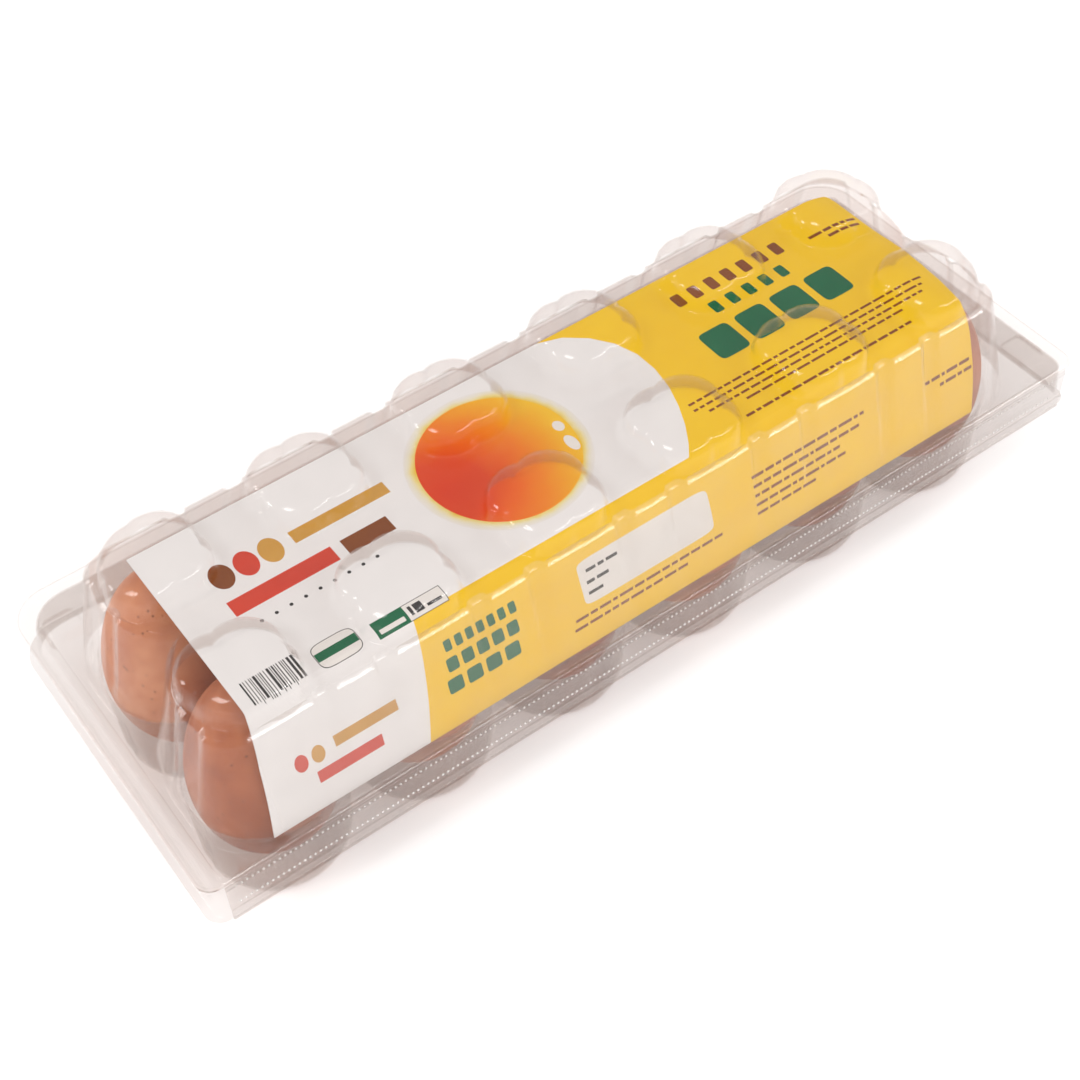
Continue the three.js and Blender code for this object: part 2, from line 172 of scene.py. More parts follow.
class Nodes:
    """A new material and its node tree."""

    def __init__(self, name: str) -> None:
        """Starts an empty tree."""
        self.material = bpy.data.materials.new(name)
        self.material.use_nodes = True
        self.tree = self.material.node_tree
        self.tree.nodes.clear()

    def add(self, kind: str, inputs: dict | None = None, **settings: object) -> bpy.types.Node:
        """Adds a node.

        Args:
            kind: Node type without its "ShaderNode" start.
            inputs: Value or output socket for each input, by name or number.
            settings: Node properties.

        Returns:
            The node.
        """
        node = self.tree.nodes.new("ShaderNode" + kind)
        for key, value in settings.items():
            setattr(node, key, value)
        for key, value in (inputs or {}).items():
            if isinstance(value, bpy.types.NodeSocket):
                self.tree.links.new(value, node.inputs[key])
            else:
                node.inputs[key].default_value = value
        return node

    def ramp(self, factor: bpy.types.NodeSocket, stops: Sequence[tuple[float, str]]) -> bpy.types.NodeSocket:
        """Adds a colour ramp.

        Args:
            factor: Value from 0 to 1.
            stops: Positions and sRGB hex codes, in order.

        Returns:
            The colour socket.
        """
        node = self.add("ValToRGB", {0: factor})
        elements = node.color_ramp.elements
        while len(elements) < len(stops):
            elements.new(0.5)
        for element, (position, code) in zip(elements, stops):
            element.position = position
            element.color = linear(code)
        return node.outputs[0]

    def noise(self, size_mm: float, detail: float = 2.0, rough: float = 0.5) -> bpy.types.NodeSocket:
        """Adds cloudy noise over the object.

        Args:
            size_mm: Size of its features.
            detail: How many finer layers it has.
            rough: How strong the finer layers are.

        Returns:
            A value socket from 0 to 1.
        """
        coords = self.add("TexCoord").outputs["Object"]
        return self.add("TexNoise", {"Vector": coords, "Scale": 1000 / size_mm, "Detail": detail,
                                     "Roughness": rough}).outputs[0]

    def spots(self, spacing_mm: float) -> bpy.types.NodeSocket:
        """Adds scattered points over the object.

        Args:
            spacing_mm: Their mean distance apart.

        Returns:
            The distance to the nearest point, in shares of the spacing.
        """
        coords = self.add("TexCoord").outputs["Object"]
        return self.add("TexVoronoi", {"Vector": coords, "Scale": 1000 / spacing_mm}).outputs["Distance"]

    def math(self, operation: str, *values: object) -> bpy.types.NodeSocket:
        """One arithmetic step."""
        return self.add("Math", dict(enumerate(values)), operation=operation).outputs[0]

    def scaled(self, factor: bpy.types.NodeSocket, low: float, high: float) -> bpy.types.NodeSocket:
        """A 0 to 1 value spread from low to high."""
        return self.add("MapRange", {"Value": factor, "To Min": low, "To Max": high}).outputs[0]

    def bump(self, height: bpy.types.NodeSocket, distance_mm: float,
             strength: float = 1.0) -> bpy.types.NodeSocket:
        """Adds relief.

        Args:
            height: Value socket from 0 to 1.
            distance_mm: Depth of the relief.
            strength: Share of it that shows.

        Returns:
            The normal socket.
        """
        return self.add("Bump", {"Height": height, "Distance": distance_mm / 1000,
                                 "Strength": strength}).outputs[0]

    def finish(self, shader: bpy.types.Node) -> bpy.types.Material:
        """Links the shader to the output."""
        self.add("OutputMaterial", {"Surface": shader.outputs[0]})
        return self.material


@dataclass(frozen=True)
class ClearSheetFinish:
    """Clear PET film, drawn hot over a mould: it lets nearly all light through and mirrors at a slant.

    Each layer dims what lies behind it by the tint, so stacked walls look grey. The mould leaves shallow
    waves, which bend the reflected lights, and finer draw marks, which blur them in places. The share of
    gloss starts from the 4 percent of a film of IOR 1.57 and is matched to the photograph's reflections.
    """

    name: str = "PET_clear_thermoformed"
    tint: str = "F9F7F6"
    haze: Flat = (0.002, 0.008)
    haze_colour: str = "E4DEDA"
    roughness: Flat = (0.045, 0.13)
    gloss: Flat = (0.018, 0.6)
    gloss_power: float = 5.0
    wave_size_mm: float = 14.0
    wave_relief_mm: float = 0.21
    draw_mark_mm: float = 2.2

    def build(self) -> bpy.types.Material:
        """Makes the film's material.

        Returns:
            The material.
        """
        n = Nodes(self.name)
        waves = n.noise(self.wave_size_mm, 1.5)
        draw = n.noise(self.draw_mark_mm, 2.0)
        normal = n.bump(waves, self.wave_relief_mm, 0.5)
        clear = n.add("BsdfTransparent", {"Color": linear(self.tint)})
        gloss = n.add("BsdfGlossy", {"Color": (1, 1, 1, 1), "Normal": normal,
                                     "Roughness": n.scaled(draw, *self.roughness)})
        facing = n.add("LayerWeight", {"Blend": 0.5, "Normal": normal}).outputs["Facing"]
        glint = n.scaled(n.math("POWER", facing, self.gloss_power), *self.gloss)
        sheet = n.add("MixShader", {0: glint, 1: clear.outputs[0], 2: gloss.outputs[0]})
        milk = n.add("BsdfDiffuse", {"Color": linear(self.haze_colour)})
        film = n.add("MixShader", {0: n.scaled(waves, *self.haze), 1: sheet.outputs[0],
                                   2: milk.outputs[0]})
        return n.finish(film)


@dataclass(frozen=True)
class PaperFinish:
    """Coated paper, offset printed and calendered: flat, even ink with a dull sheen.

    The ink lies in two near shades in soft clouds, and the fibres lift the surface just enough to keep the
    sheen from being even. The relief is drawn much coarser than real fibres, so that it shows.
    """

    name: str
    stops: tuple[tuple[float, str], ...]
    roughness: Flat = (0.42, 0.56)
    cloud_mm: float = 9.0
    fibre_mm: float = 0.5
    relief_mm: float = 0.02

    def ink(self, n: Nodes) -> bpy.types.NodeSocket:
        """Mixes the ink's shades.

        Args:
            n: The material's nodes.

        Returns:
            The colour socket.
        """
        return n.ramp(n.noise(self.cloud_mm, 6.0, 0.6), self.stops)

    def build(self) -> bpy.types.Material:
        """Makes the printed paper's material.

        Returns:
            The material.
        """
        n = Nodes(self.name)
        fibre = n.noise(self.fibre_mm, 4.0)
        shader = n.add("BsdfPrincipled", {"Base Color": self.ink(n), "IOR": 1.45, "Specular IOR Level": 0.2,
                                          "Roughness": n.scaled(fibre, *self.roughness),
                                          "Normal": n.bump(fibre, self.relief_mm, 0.4)})
        return n.finish(shader)


@dataclass(frozen=True)
class RoundFinish(PaperFinish):
    """The same print, with ink that blends from one colour to the next with the distance from a centre."""

    centre: Point = (0.0, 0.0, 0.0)
    radius: float = 20.0
    blotch_mm: float = 7.0
    blotch_share: float = 0.06

    def ink(self, n: Nodes) -> bpy.types.NodeSocket:
        """Mixes the ink by the distance from the centre, a little blotched.

        Args:
            n: The material's nodes.

        Returns:
            The colour socket.
        """
        coords = n.add("TexCoord").outputs["Object"]
        away = n.add("VectorMath", {0: coords, 1: to_row(self.centre)}, operation="SUBTRACT").outputs[0]
        distance = n.add("VectorMath", {0: away}, operation="LENGTH").outputs["Value"]
        share = n.math("DIVIDE", distance, self.radius / 1000)
        blotch = n.scaled(n.noise(self.blotch_mm, 2.0), -self.blotch_share, self.blotch_share)
        return n.ramp(n.math("ADD", share, blotch), self.stops)


@dataclass(frozen=True)
class EggshellFinish:
    """Brown hen's eggshell, as laid: chalky and matt, with a soft skin-like glow where light enters it.

    The pigment lies in soft clouds with scattered dark specks. The pores are about as close as on a real
    shell, and with the finer chalk between them they break up the highlight.
    """

    slot: Slot
    pale: str
    middle: str
    deep: str
    speck_colour: str = "4A2415"
    cloud_mm: float = 16.0
    speck_spacing_mm: float = 2.38
    speck_radius_share: float = 0.16
    speck_patch_mm: float = 11.0
    speck_patch_from: float = 0.57
    speck_strength: float = 0.55
    pore_spacing_mm: float = 0.667
    chalk_mm: float = 0.9
    relief_mm: float = 0.035
    sheen_cloud_mm: float = 5.0
    roughness: Flat = (0.42, 0.62)

    def build(self) -> bpy.types.Material:
        """Makes the shell's material.

        Returns:
            The material.
        """
        n = Nodes("Eggshell_" + self.slot.value)
        clouds = n.noise(self.cloud_mm, 5.0, 0.62)
        mottle = n.ramp(clouds, [(0.28, self.deep), (0.5, self.middle), (0.74, self.pale)])
        patch = n.math("GREATER_THAN", n.noise(self.speck_patch_mm), self.speck_patch_from)
        speck = n.math("LESS_THAN", n.spots(self.speck_spacing_mm), self.speck_radius_share)
        shown = n.math("MULTIPLY", n.math("MULTIPLY", speck, patch), self.speck_strength)
        colour = n.add("Mix", {0: shown, 6: mottle, 7: linear(self.speck_colour)},
                       data_type="RGBA").outputs[2]
        pores = n.spots(self.pore_spacing_mm)
        relief = n.math("ADD", pores, n.noise(self.chalk_mm, 3.0))
        shader = n.add("BsdfPrincipled", {
            "Base Color": colour, "IOR": 1.5, "Subsurface Weight": 0.08, "Subsurface Scale": 0.002,
            "Subsurface Radius": (1.0, 0.45, 0.25),
            "Roughness": n.scaled(n.noise(self.sheen_cloud_mm, 4.0), *self.roughness),
            "Normal": n.bump(relief, self.relief_mm, 0.5)})
        return n.finish(shader)


@dataclass(frozen=True)
class FloorFinish:
    """Matt white acrylic table, cast and lit softly from below, so that hardly any shadow stays on it."""

    name: str = "Acrylic_table_white_backlit"
    light: str = "F9F9F9"
    shade: str = "F7F7F7"
    cloud_mm: float = 60.0
    glow: float = 0.22

    def build(self) -> bpy.types.Material:
        """Makes the table's material.

        Returns:
            The material.
        """
        n = Nodes(self.name)
        grain = n.noise(self.cloud_mm, 3.0)
        shader = n.add("BsdfPrincipled", {"Base Color": n.ramp(grain, [(0.3, self.shade), (0.7, self.light)]),
                                          "Roughness": n.scaled(grain, 0.7, 0.8), "Specular IOR Level": 0.2,
                                          "Emission Color": (1.0, 1.0, 1.0, 1.0),
                                          "Emission Strength": self.glow})
        return n.finish(shader)


class Skin:
    """A surface gathered face by face, in millimetres, with shared corners merged."""

    # Corners that fall on one step of this grid are one
    grid_per_mm: int = 500

    def __init__(self) -> None:
        """Starts empty."""
        self.points: list[Point] = []
        self.faces: list[list[int]] = []
        self.slots: list[int] = []
        self.ids: dict[tuple[int, int, int], int] = {}

    def corner(self, point: Point) -> int:
        """Adds a corner, once for each place.

        Args:
            point: Its place.

        Returns:
            Its number.
        """
        key = tuple(round(value * self.grid_per_mm) for value in point)
        if key not in self.ids:
            self.ids[key] = len(self.points)
            self.points.append(point)
        return self.ids[key]

    def face(self, corners: Sequence[Point], slot: int = 0) -> None:
        """Adds one face, unless it has shrunk away.

        Args:
            corners: Its corners in order.
            slot: Its material's number.
        """
        ids = list(dict.fromkeys(self.corner(p) for p in corners))
        if len(ids) > 2:
            self.faces.append(ids)
            self.slots.append(slot)

    def band(self, outer: Sequence[Point], inner: Sequence[Point], closed: bool = True,
             slot: int = 0) -> None:
        """Joins two loops, or two lines, with the same count.

        Args:
            outer: First loop.
            inner: Second loop.
            closed: False for lines.
            slot: The faces' material number.
        """
        count = len(outer)
        for i in range(count if closed else count - 1):
            j = (i + 1) % count
            self.face([outer[i], outer[j], inner[j], inner[i]], slot)

    def rings(self, loops: Sequence[Sequence[Point]], slot: int = 0) -> None:
        """Joins a run of loops."""
        for outer, inner in zip(loops, loops[1:]):
            self.band(outer, inner, slot=slot)

    def sweep(self, section: Sequence[Flat], x0: float, x1: float, columns: int = 40) -> None:
        """Draws a section along X.

        Args:
            section: Y and Z of its points.
            x0: Left end.
            x1: Right end.
            columns: Count of faces along X.
        """
        lines = [[(lerp(x0, x1, i / columns), y, z) for i in range(columns + 1)] for y, z in section]
        for lower, upper in zip(lines, lines[1:]):
            self.band(lower, upper, closed=False)

    def fan(self, loop: Sequence[Point], centre: Point, slot: int = 0) -> None:
        """Closes a loop with a middle point.

        Args:
            loop: The loop.
            centre: The middle point.
            slot: The faces' material number.
        """
        for i, point in enumerate(loop):
            self.face([point, loop[(i + 1) % len(loop)], centre], slot)

    def fill(self, outline: Sequence[Point], holes: Sequence[Sequence[Point]]) -> None:
        """Covers a level area.

        Args:
            outline: Its outline, turning left.
            holes: Outlines that stay open.
        """
        loops = [outline, *holes]
        flat = [Vector((x, y)) for loop in loops for x, y, _ in loop]
        starts = [sum(len(loop) for loop in loops[:k]) for k in range(len(loops))]
        rounds = [list(range(s, s + len(loop))) for s, loop in zip(starts, loops)]
        level = outline[0][2]
        points, _, triangles, _, _, owners = delaunay_2d_cdt(flat, [], rounds, 1, 1e-4, True)
        for triangle, owner in zip(triangles, owners):
            if list(owner) == [0]:
                self.face([(points[i].x, points[i].y, level) for i in triangle])

    def make(self, name: str, materials: Sequence[bpy.types.Material], thickness_mm: float = 0.0,
             weighted: bool = True) -> bpy.types.Object:
        """Turns the surface into an object.

        Args:
            name: Piece name.
            materials: Materials by slot number.
            thickness_mm: Thickness added behind the surface.
            weighted: True where the large flat faces are to stay flat beside small fillets.

        Returns:
            The object, in the row frame.
        """
        mesh = bpy.data.meshes.new(name)
        mesh.from_pydata([to_row(p) for p in self.points], [], self.faces)
        mesh.polygons.foreach_set("material_index", self.slots)
        mesh.polygons.foreach_set("use_smooth", [True] * len(self.faces))
        for material in materials:
            mesh.materials.append(material)
        mesh.validate()
        mesh.update()
        piece = bpy.data.objects.new(name, mesh)
        bpy.context.scene.collection.objects.link(piece)
        if thickness_mm:
            shell = piece.modifiers.new("shell", "SOLIDIFY")
            shell.thickness = thickness_mm / 1000
            shell.offset = -1.0
        if weighted:
            piece.modifiers.new("flat_stays_flat", "WEIGHTED_NORMAL")
        return piece


def dress(piece: bpy.types.Object, body: Body, slot: Slot, *nodes: str) -> None:
    """Sets a piece on its body, and hides the nodes of the frame that it replaces.

    Args:
        piece: The piece.
        body: Body that it rides.
        slot: Material slot of the record; not used.
        nodes: Nodes of the frame that it replaces.
    """
    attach(piece, body.value)
    if nodes:
        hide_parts(*nodes)
    LOG.info("%s: %d faces on %s", piece.name, len(piece.data.polygons), body.value)


@dataclass(frozen=True)
class Flange:
    """The flat rim's outline: narrow at the hinge, wide at the opening lip and at the right end."""

    left: float = -149.5
    right: float = 163.5
    front: float = -48.3
    rear: float = 68.5
    corner_front: float = 5.0
    corner_rear: float = 12.0
    steps: int = 8

    def loop(self, z: float, inset: float, front_inset: float) -> list[Point]:
        """The outline moved in, turning left from the front left corner.

        Args:
            z: Height.
            inset: How far the left, right and rear sides move in.
            front_inset: How far the front side moves in.

        Returns:
            The loop.
        """
        x0, x1 = self.left + inset, self.right - inset
        y0, y1 = self.front + front_inset, self.rear - inset
        cf, cr = self.corner_front, self.corner_rear
        corners = [(x0 + cf, y0 + cf, cf, 180), (x1 - cf, y0 + cf, cf, 270),
                   (x1 - cr, y1 - cr, cr, 0), (x0 + cr, y1 - cr, cr, 90)]
        loop: list[Point] = []
        for x, y, radius, start in corners:
            for step in range(self.steps + 1):
                angle = math.radians(start + 90 * step / self.steps)
                loop.append((x + radius * math.cos(angle), y + radius * math.sin(angle), z))
        return loop

    def rings(self, profile: Sequence[RimStep]) -> list[list[Point]]:
        """The loops of a rim, from its first step to its last."""
        return [self.loop(z, inset, front) for z, inset, front in profile]


@dataclass(frozen=True)
class LidWall:
    """The outline of the lid's fluted wall at any height."""

    foot_z: float = 34.0
    roof_z: float = 70.4
    foot_y: float = 46.4
    top_y: float = 38.4
    straight_x: float = 124.0

    # At the foot and at the roof
    tip_x: Flat = (141.5, 134.0)
    groove_left_x: Flat = (136.5, 123.2)
    groove_right_x: Flat = (136.5, 129.6)
    flute_at: float = 14.6
    flute_half: float = 3.1
    flute_edge: float = 1.3
    flute_depth: Flat = (0.1, 1.6)
    end_flute_at: float = 6.0
    end_flute_half: float = 1.9
    end_flute_edge: float = 1.0
    end_flute_depth: float = 1.1

    # Where the end flutes start and the run in which they deepen, in shares of the height
    end_flute_start: Flat = (0.12, 0.1)

    # Powers of the curve that bulges round an end cell
    bulge_flat: float = 2.2
    bulge_full: float = 0.75
    arc_steps: int = 12
    bulge_steps: int = 22
    normal_reach: int = 4

    def flute(self, x: float, h: float) -> float:
        """Depth of the upright flutes in the long walls.

        Args:
            x: Place along the wall.
            h: Share of the wall's height.

        Returns:
            The depth.
        """
        column = round(x / PITCH + (COLUMNS - 1) / 2)
        off = abs(abs(x - column_x(column)) - self.flute_at)
        return lerp(*self.flute_depth, h) * smooth((self.flute_half - off) / self.flute_edge)

    def end_flute(self, y: float, h: float) -> float:
        """Depth of the upright flutes in the end walls.

        Args:
            y: Place across the end.
            h: Share of the wall's height.

        Returns:
            The depth.
        """
        off = abs(abs(abs(y) - ROW_Y) - self.end_flute_at)
        start, run = self.end_flute_start
        fade = smooth((h - start) / run)
        return self.end_flute_depth * fade * smooth((self.end_flute_half - off) / self.end_flute_edge)

    def end(self, h: float, groove_x: Flat) -> list[Flat]:
        """One end from its front corner to its rear one, drawn for the right end.

        Args:
            h: Share of the wall's height.
            groove_x: X of the groove at foot and roof.

        Returns:
            The end's points.
        """
        wall_y = lerp(self.foot_y, self.top_y, h)
        tip = lerp(*self.tip_x, h)
        groove = lerp(*groove_x, h)
        radius = tip - self.straight_x
        half: list[Flat] = []
        for step in range(1, self.arc_steps + 1):
            angle = math.pi / 2 * step / self.arc_steps
            half.append((self.straight_x + radius * math.sin(angle),
                         wall_y - radius * (1 - math.cos(angle))))
        for step in range(self.bulge_steps + 1):
            u = step / self.bulge_steps
            bulge = (1 - u ** self.bulge_flat) ** self.bulge_full
            half.append((lerp(groove, tip, bulge), ROW_Y * (1 - u)))
        half = [(x - self.end_flute(y, h), y) for x, y in half]
        return [(x, -y) for x, y in half] + half[-2::-1]

    def outline(self, z: float) -> list[Flat]:
        """The wall's outline, turning left from the front left corner.

        Args:
            z: Height.

        Returns:
            The outline's points.
        """
        h = (z - self.foot_z) / (self.roof_z - self.foot_z)
        wall_y = lerp(self.foot_y, self.top_y, h)
        count = int(2 * self.straight_x)
        stations = [-self.straight_x + i for i in range(count + 1)]
        front = [(x, -(wall_y - self.flute(x, h))) for x in stations]
        rear = [(x, -y) for x, y in reversed(front)]
        left = [(-x, -y) for x, y in self.end(h, self.groove_left_x)]
        return front + self.end(h, self.groove_right_x) + rear + left

    def ring(self, z: float, out: float) -> list[Point]:
        """The outline at a height, moved outwards.

        Args:
            z: Height.
            out: How far it moves, square to the wall.

        Returns:
            The ring.
        """
        outline = self.outline(z)
        count = len(outline)
        reach = self.normal_reach
        ring: list[Point] = []
        for i, (x, y) in enumerate(outline):
            ax, ay = outline[i - reach]
            bx, by = outline[(i + reach) % count]
            dx, dy = bx - ax, by - ay
            length = math.hypot(dx, dy) or 1.0
            ring.append((x + out * dy / length, y - out * dx / length, z))
        return ring


@dataclass(frozen=True)
class Dome:
    """A lobed dome over one cell; the lobe at an outer corner of the pack is held in."""

    radius: float = 14.8
    lobe: float = 2.7
    lobe_power: float = 0.8
    held_in_from: float = 0.1
    steps: int = 72

    # Share of the foot's size, and height
    profile: tuple[Flat, ...] = (
        (1.0, 70.4), (0.986, 70.65), (0.975, 71.3), (0.965, 72.6), (0.948, 74.4), (0.92, 76.0),
        (0.875, 77.3), (0.81, 78.25), (0.72, 78.95), (0.6, 79.45), (0.44, 79.78), (0.24, 79.95))
    top_z: float = 80.0

    def ring(self, x0: float, y0: float, scale: float, z: float) -> list[Point]:
        """One ring of the dome.

        Args:
            x0: X of the cell's middle.
            y0: Y of the cell's middle.
            scale: Share of the foot's size.
            z: Height.

        Returns:
            The ring.
        """
        ring: list[Point] = []
        for step in range(self.steps):
            angle = 2 * math.pi * step / self.steps
            toward_end = abs(x0) > END_CELL_X - 1 and math.cos(angle) * x0 > 0
            held_in = toward_end and math.sin(angle) * y0 > self.held_in_from
            lobe = 0.0 if held_in else self.lobe * abs(math.sin(2 * angle)) ** self.lobe_power
            radius = scale * (self.radius + lobe)
            ring.append((x0 + radius * math.cos(angle), y0 + radius * math.sin(angle), z))
        return ring

    def add_to(self, skin: Skin, x0: float, y0: float) -> list[Point]:
        """Adds the dome.

        Args:
            skin: The lid's surface.
            x0: X of the cell's middle.
            y0: Y of the cell's middle.

        Returns:
            Its foot, as a hole for the roof.
        """
        rings = [self.ring(x0, y0, scale, z) for scale, z in self.profile]
        skin.rings(rings)
        skin.fan(rings[-1], (x0, y0, self.top_z))
        return rings[0]


@dataclass(frozen=True)
class LockPad:
    """A pressed button on the lid's rim that snaps into the tray's rim."""

    x: float
    y: float
    dx: float
    dy: float
    foot_z: float = 34.0

    # Inset and rise
    profile: tuple[Flat, ...] = (
        (0.0, 0.0), (0.5, 0.25), (0.8, 1.0), (1.15, 2.4), (1.5, 2.95), (2.1, 3.2), (3.0, 2.8))
    middle: float = 2.7
    squareness: float = 0.35
    steps: int = 48

    def ring(self, inset: float, z: float) -> list[Point]:
        """A rounded rectangle.

        Args:
            inset: How far it lies inside the foot.
            z: Height.

        Returns:
            The ring.
        """
        ring: list[Point] = []
        for step in range(self.steps):
            x, y = on_rounded_box(step / self.steps, self.squareness)
            ring.append((self.x + (self.dx / 2 - inset) * x, self.y + (self.dy / 2 - inset) * y, z))
        return ring

    def add_to(self, skin: Skin) -> list[Point]:
        """Adds the pad.

        Args:
            skin: The lid's surface.

        Returns:
            Its foot, as a hole for the rim.
        """
        rings = [self.ring(inset, self.foot_z + rise) for inset, rise in self.profile]
        skin.rings(rings)
        skin.fan(rings[-1], (self.x, self.y, self.foot_z + self.middle))
        return rings[0]


@dataclass(frozen=True)
class LidFilm:
    """The clear lid: rim, fluted wall, roof and twelve domes in one pressed sheet."""

    thickness: float = 0.45
    flange: Flange = Flange()
    wall: LidWall = LidWall()
    dome: Dome = Dome()
    rim: tuple[RimStep, ...] = (
        (33.3, 0.0, 0.05), (33.34, 0.02, 0.05), (33.96, 0.3, 0.78), (34.0, 0.33, 0.84),
        (34.0, 4.4, 0.87), (34.5, 4.9, 0.88), (34.5, 5.6, 1.0), (34.0, 6.1, 1.12))

    # Fillet at the wall's foot, and the facets of its shoulder: depth below the roof, and setback
    foot_rise: float = 1.2
    foot_out: float = 0.6
    foot_steps: int = 4
    wall_steps: int = 7
    shoulder_room: float = 1.6
    shoulder: tuple[Flat, ...] = ((1.35, 0.0), (1.2, 0.04), (0.12, 1.04), (0.04, 1.2), (0.0, 1.4))

    # The part of each end flute that takes the milkier film, a painted reflection of the light on it
    milky_flute_half: float = 1.4
    milky_flute_from_z: float = 37.0
    pads: tuple[LockPad, ...] = (LockPad(-138.6, 50.4, 12, 11), LockPad(151.5, 51.5, 11, 13),
                                 LockPad(151.5, -35.5, 11, 14))

    def wall_rings(self) -> list[list[Point]]:
        """Draws the wall with its foot fillet and its faceted shoulder.

        Returns:
            Its rings from foot to roof.
        """
        foot, roof = self.wall.foot_z, self.wall.roof_z
        rings: list[list[Point]] = []
        for step in range(self.foot_steps):
            a = math.pi / 2 * step / self.foot_steps
            z = foot + self.foot_rise * (1 - math.cos(a))
            rings.append(self.wall.ring(z, self.foot_out * (1 - math.sin(a))))
        low, high = foot + self.foot_rise, roof - self.shoulder_room
        for step in range(self.wall_steps + 1):
            rings.append(self.wall.ring(lerp(low, high, step / self.wall_steps), 0))
        return rings + [self.wall.ring(roof - down, -into) for down, into in self.shoulder]

    def plain_ends(self, skin: Skin, start: int) -> None:
        """Gives the wall's ends the plain sheet, apart from their flutes.

        Args:
            skin: The lid's surface.
            start: Number of the wall's first face.
        """
        for i in range(start, len(skin.faces)):
            x, y, z = skin.points[skin.faces[i][0]]
            off = abs(abs(abs(y) - ROW_Y) - self.wall.end_flute_at)
            if abs(x) > self.wall.straight_x and (off > self.milky_flute_half or z < self.milky_flute_from_z):
                skin.slots[i] = 0

    def build(self, sheet: bpy.types.Material, drawn: bpy.types.Material) -> bpy.types.Object:
        """Builds the lid.

        Args:
            sheet: Clear film of the piece.
            drawn: The milkier film of the long walls and end flutes, a painted reflection of the light on
                them.

        Returns:
            The lid.
        """
        skin = Skin()
        rim = self.flange.rings(self.rim)
        skin.rings(rim)
        walls = self.wall_rings()
        skin.fill(rim[-1], [walls[0], *[pad.add_to(skin) for pad in self.pads]])
        start = len(skin.faces)
        # Slot 1, the milkier film, paints the reflection of the light on the long walls and end flutes
        skin.rings(walls, 1)
        self.plain_ends(skin, start)
        feet = [self.dome.add_to(skin, x, y) for x, y in cells()]
        skin.fill(walls[-1], feet)
        return skin.make("lid_film", [sheet, drawn], self.thickness)

    def dress(self, piece: bpy.types.Object) -> None:
        """Puts the film in the place of the lid."""
        dress(piece, Body.LID, Slot.CLEAR, "lid")


@dataclass(frozen=True)
class Cup:
    """A round cup with four upright flutes and a raised middle under the egg."""

    flute_depth: float = 0.9
    flute_half_deg: float = 7.0
    flute_edge_deg: float = 3.0

    # Height at which the flutes start and end, and the run in which they fade
    flute_foot: Flat = (3.0, 4.0)
    flute_head: Flat = (24.0, 5.0)
    steps: int = 96

    # Radius and height
    profile: tuple[Flat, ...] = (
        (22.3, 33.1), (21.9, 33.0), (21.65, 32.5), (21.5, 30.0), (21.3, 26.0), (21.15, 22.0), (21.0, 17.0),
        (20.8, 11.0), (20.6, 7.0), (20.2, 4.6), (19.4, 2.7), (18.2, 1.3), (16.8, 0.7), (15.0, 0.6),
        (8.0, 0.6), (6.4, 0.8), (5.2, 1.7), (3.8, 3.6), (2.4, 4.8), (1.0, 5.15))
    boss_z: float = 5.2

    def ring(self, x0: float, y0: float, radius: float, z: float) -> list[Point]:
        """One ring of the cup.

        Args:
            x0: X of the cell's middle.
            y0: Y of the cell's middle.
            radius: Radius past the flutes.
            z: Height.

        Returns:
            The ring.
        """
        (foot, foot_run), (head, head_run) = self.flute_foot, self.flute_head
        share = smooth((z - foot) / foot_run) * smooth((head - z) / head_run)
        ring: list[Point] = []
        for step in range(self.steps):
            angle = 360 * step / self.steps
            off = abs((angle + 45) % 90 - 45)
            depth = self.flute_depth * share * smooth((self.flute_half_deg - off) / self.flute_edge_deg)
            r = radius - depth
            a = math.radians(angle)
            ring.append((x0 + r * math.cos(a), y0 + r * math.sin(a), z))
        return ring

    def add_to(self, skin: Skin, x0: float, y0: float) -> list[Point]:
        """Adds the cup.

        Args:
            skin: The tray's surface.
            x0: X of the cell's middle.
            y0: Y of the cell's middle.

        Returns:
            Its mouth, as a hole for the land.
        """
        rings = [self.ring(x0, y0, radius, z) for radius, z in self.profile]
        skin.rings(rings)
        skin.fan(rings[-1], (x0, y0, self.boss_z))
        return rings[0]


@dataclass(frozen=True)
class TrayFilm:
    """The clear tray: rim, skirt, land and twelve cups in one pressed sheet."""

    thickness: float = 0.45
    flange: Flange = Flange()
    cup: Cup = Cup()
    rim: tuple[RimStep, ...] = (
        (17.75, 0.0, 0.0), (18.0, 0.3, 0.1), (18.0, 1.6, 0.3), (18.3, 2.2, 0.5), (19.2, 2.5, 0.6),
        (31.8, 3.9, 0.85), (32.7, 4.1, 0.95), (33.1, 4.7, 1.2))

    def build(self, sheet: bpy.types.Material) -> bpy.types.Object:
        """Builds the tray.

        Args:
            sheet: Clear film of the piece.

        Returns:
            The tray.
        """
        skin = Skin()
        rings = self.flange.rings(self.rim)
        skin.rings(rings)
        skin.fill(rings[-1], [self.cup.add_to(skin, x, y) for x, y in cells()])
        return skin.make("tray_film", [sheet], self.thickness)

    def dress(self, piece: bpy.types.Object) -> None:
        """Puts the film in the place of the tray."""
        dress(piece, Body.TRAY, Slot.CLEAR, "tray")


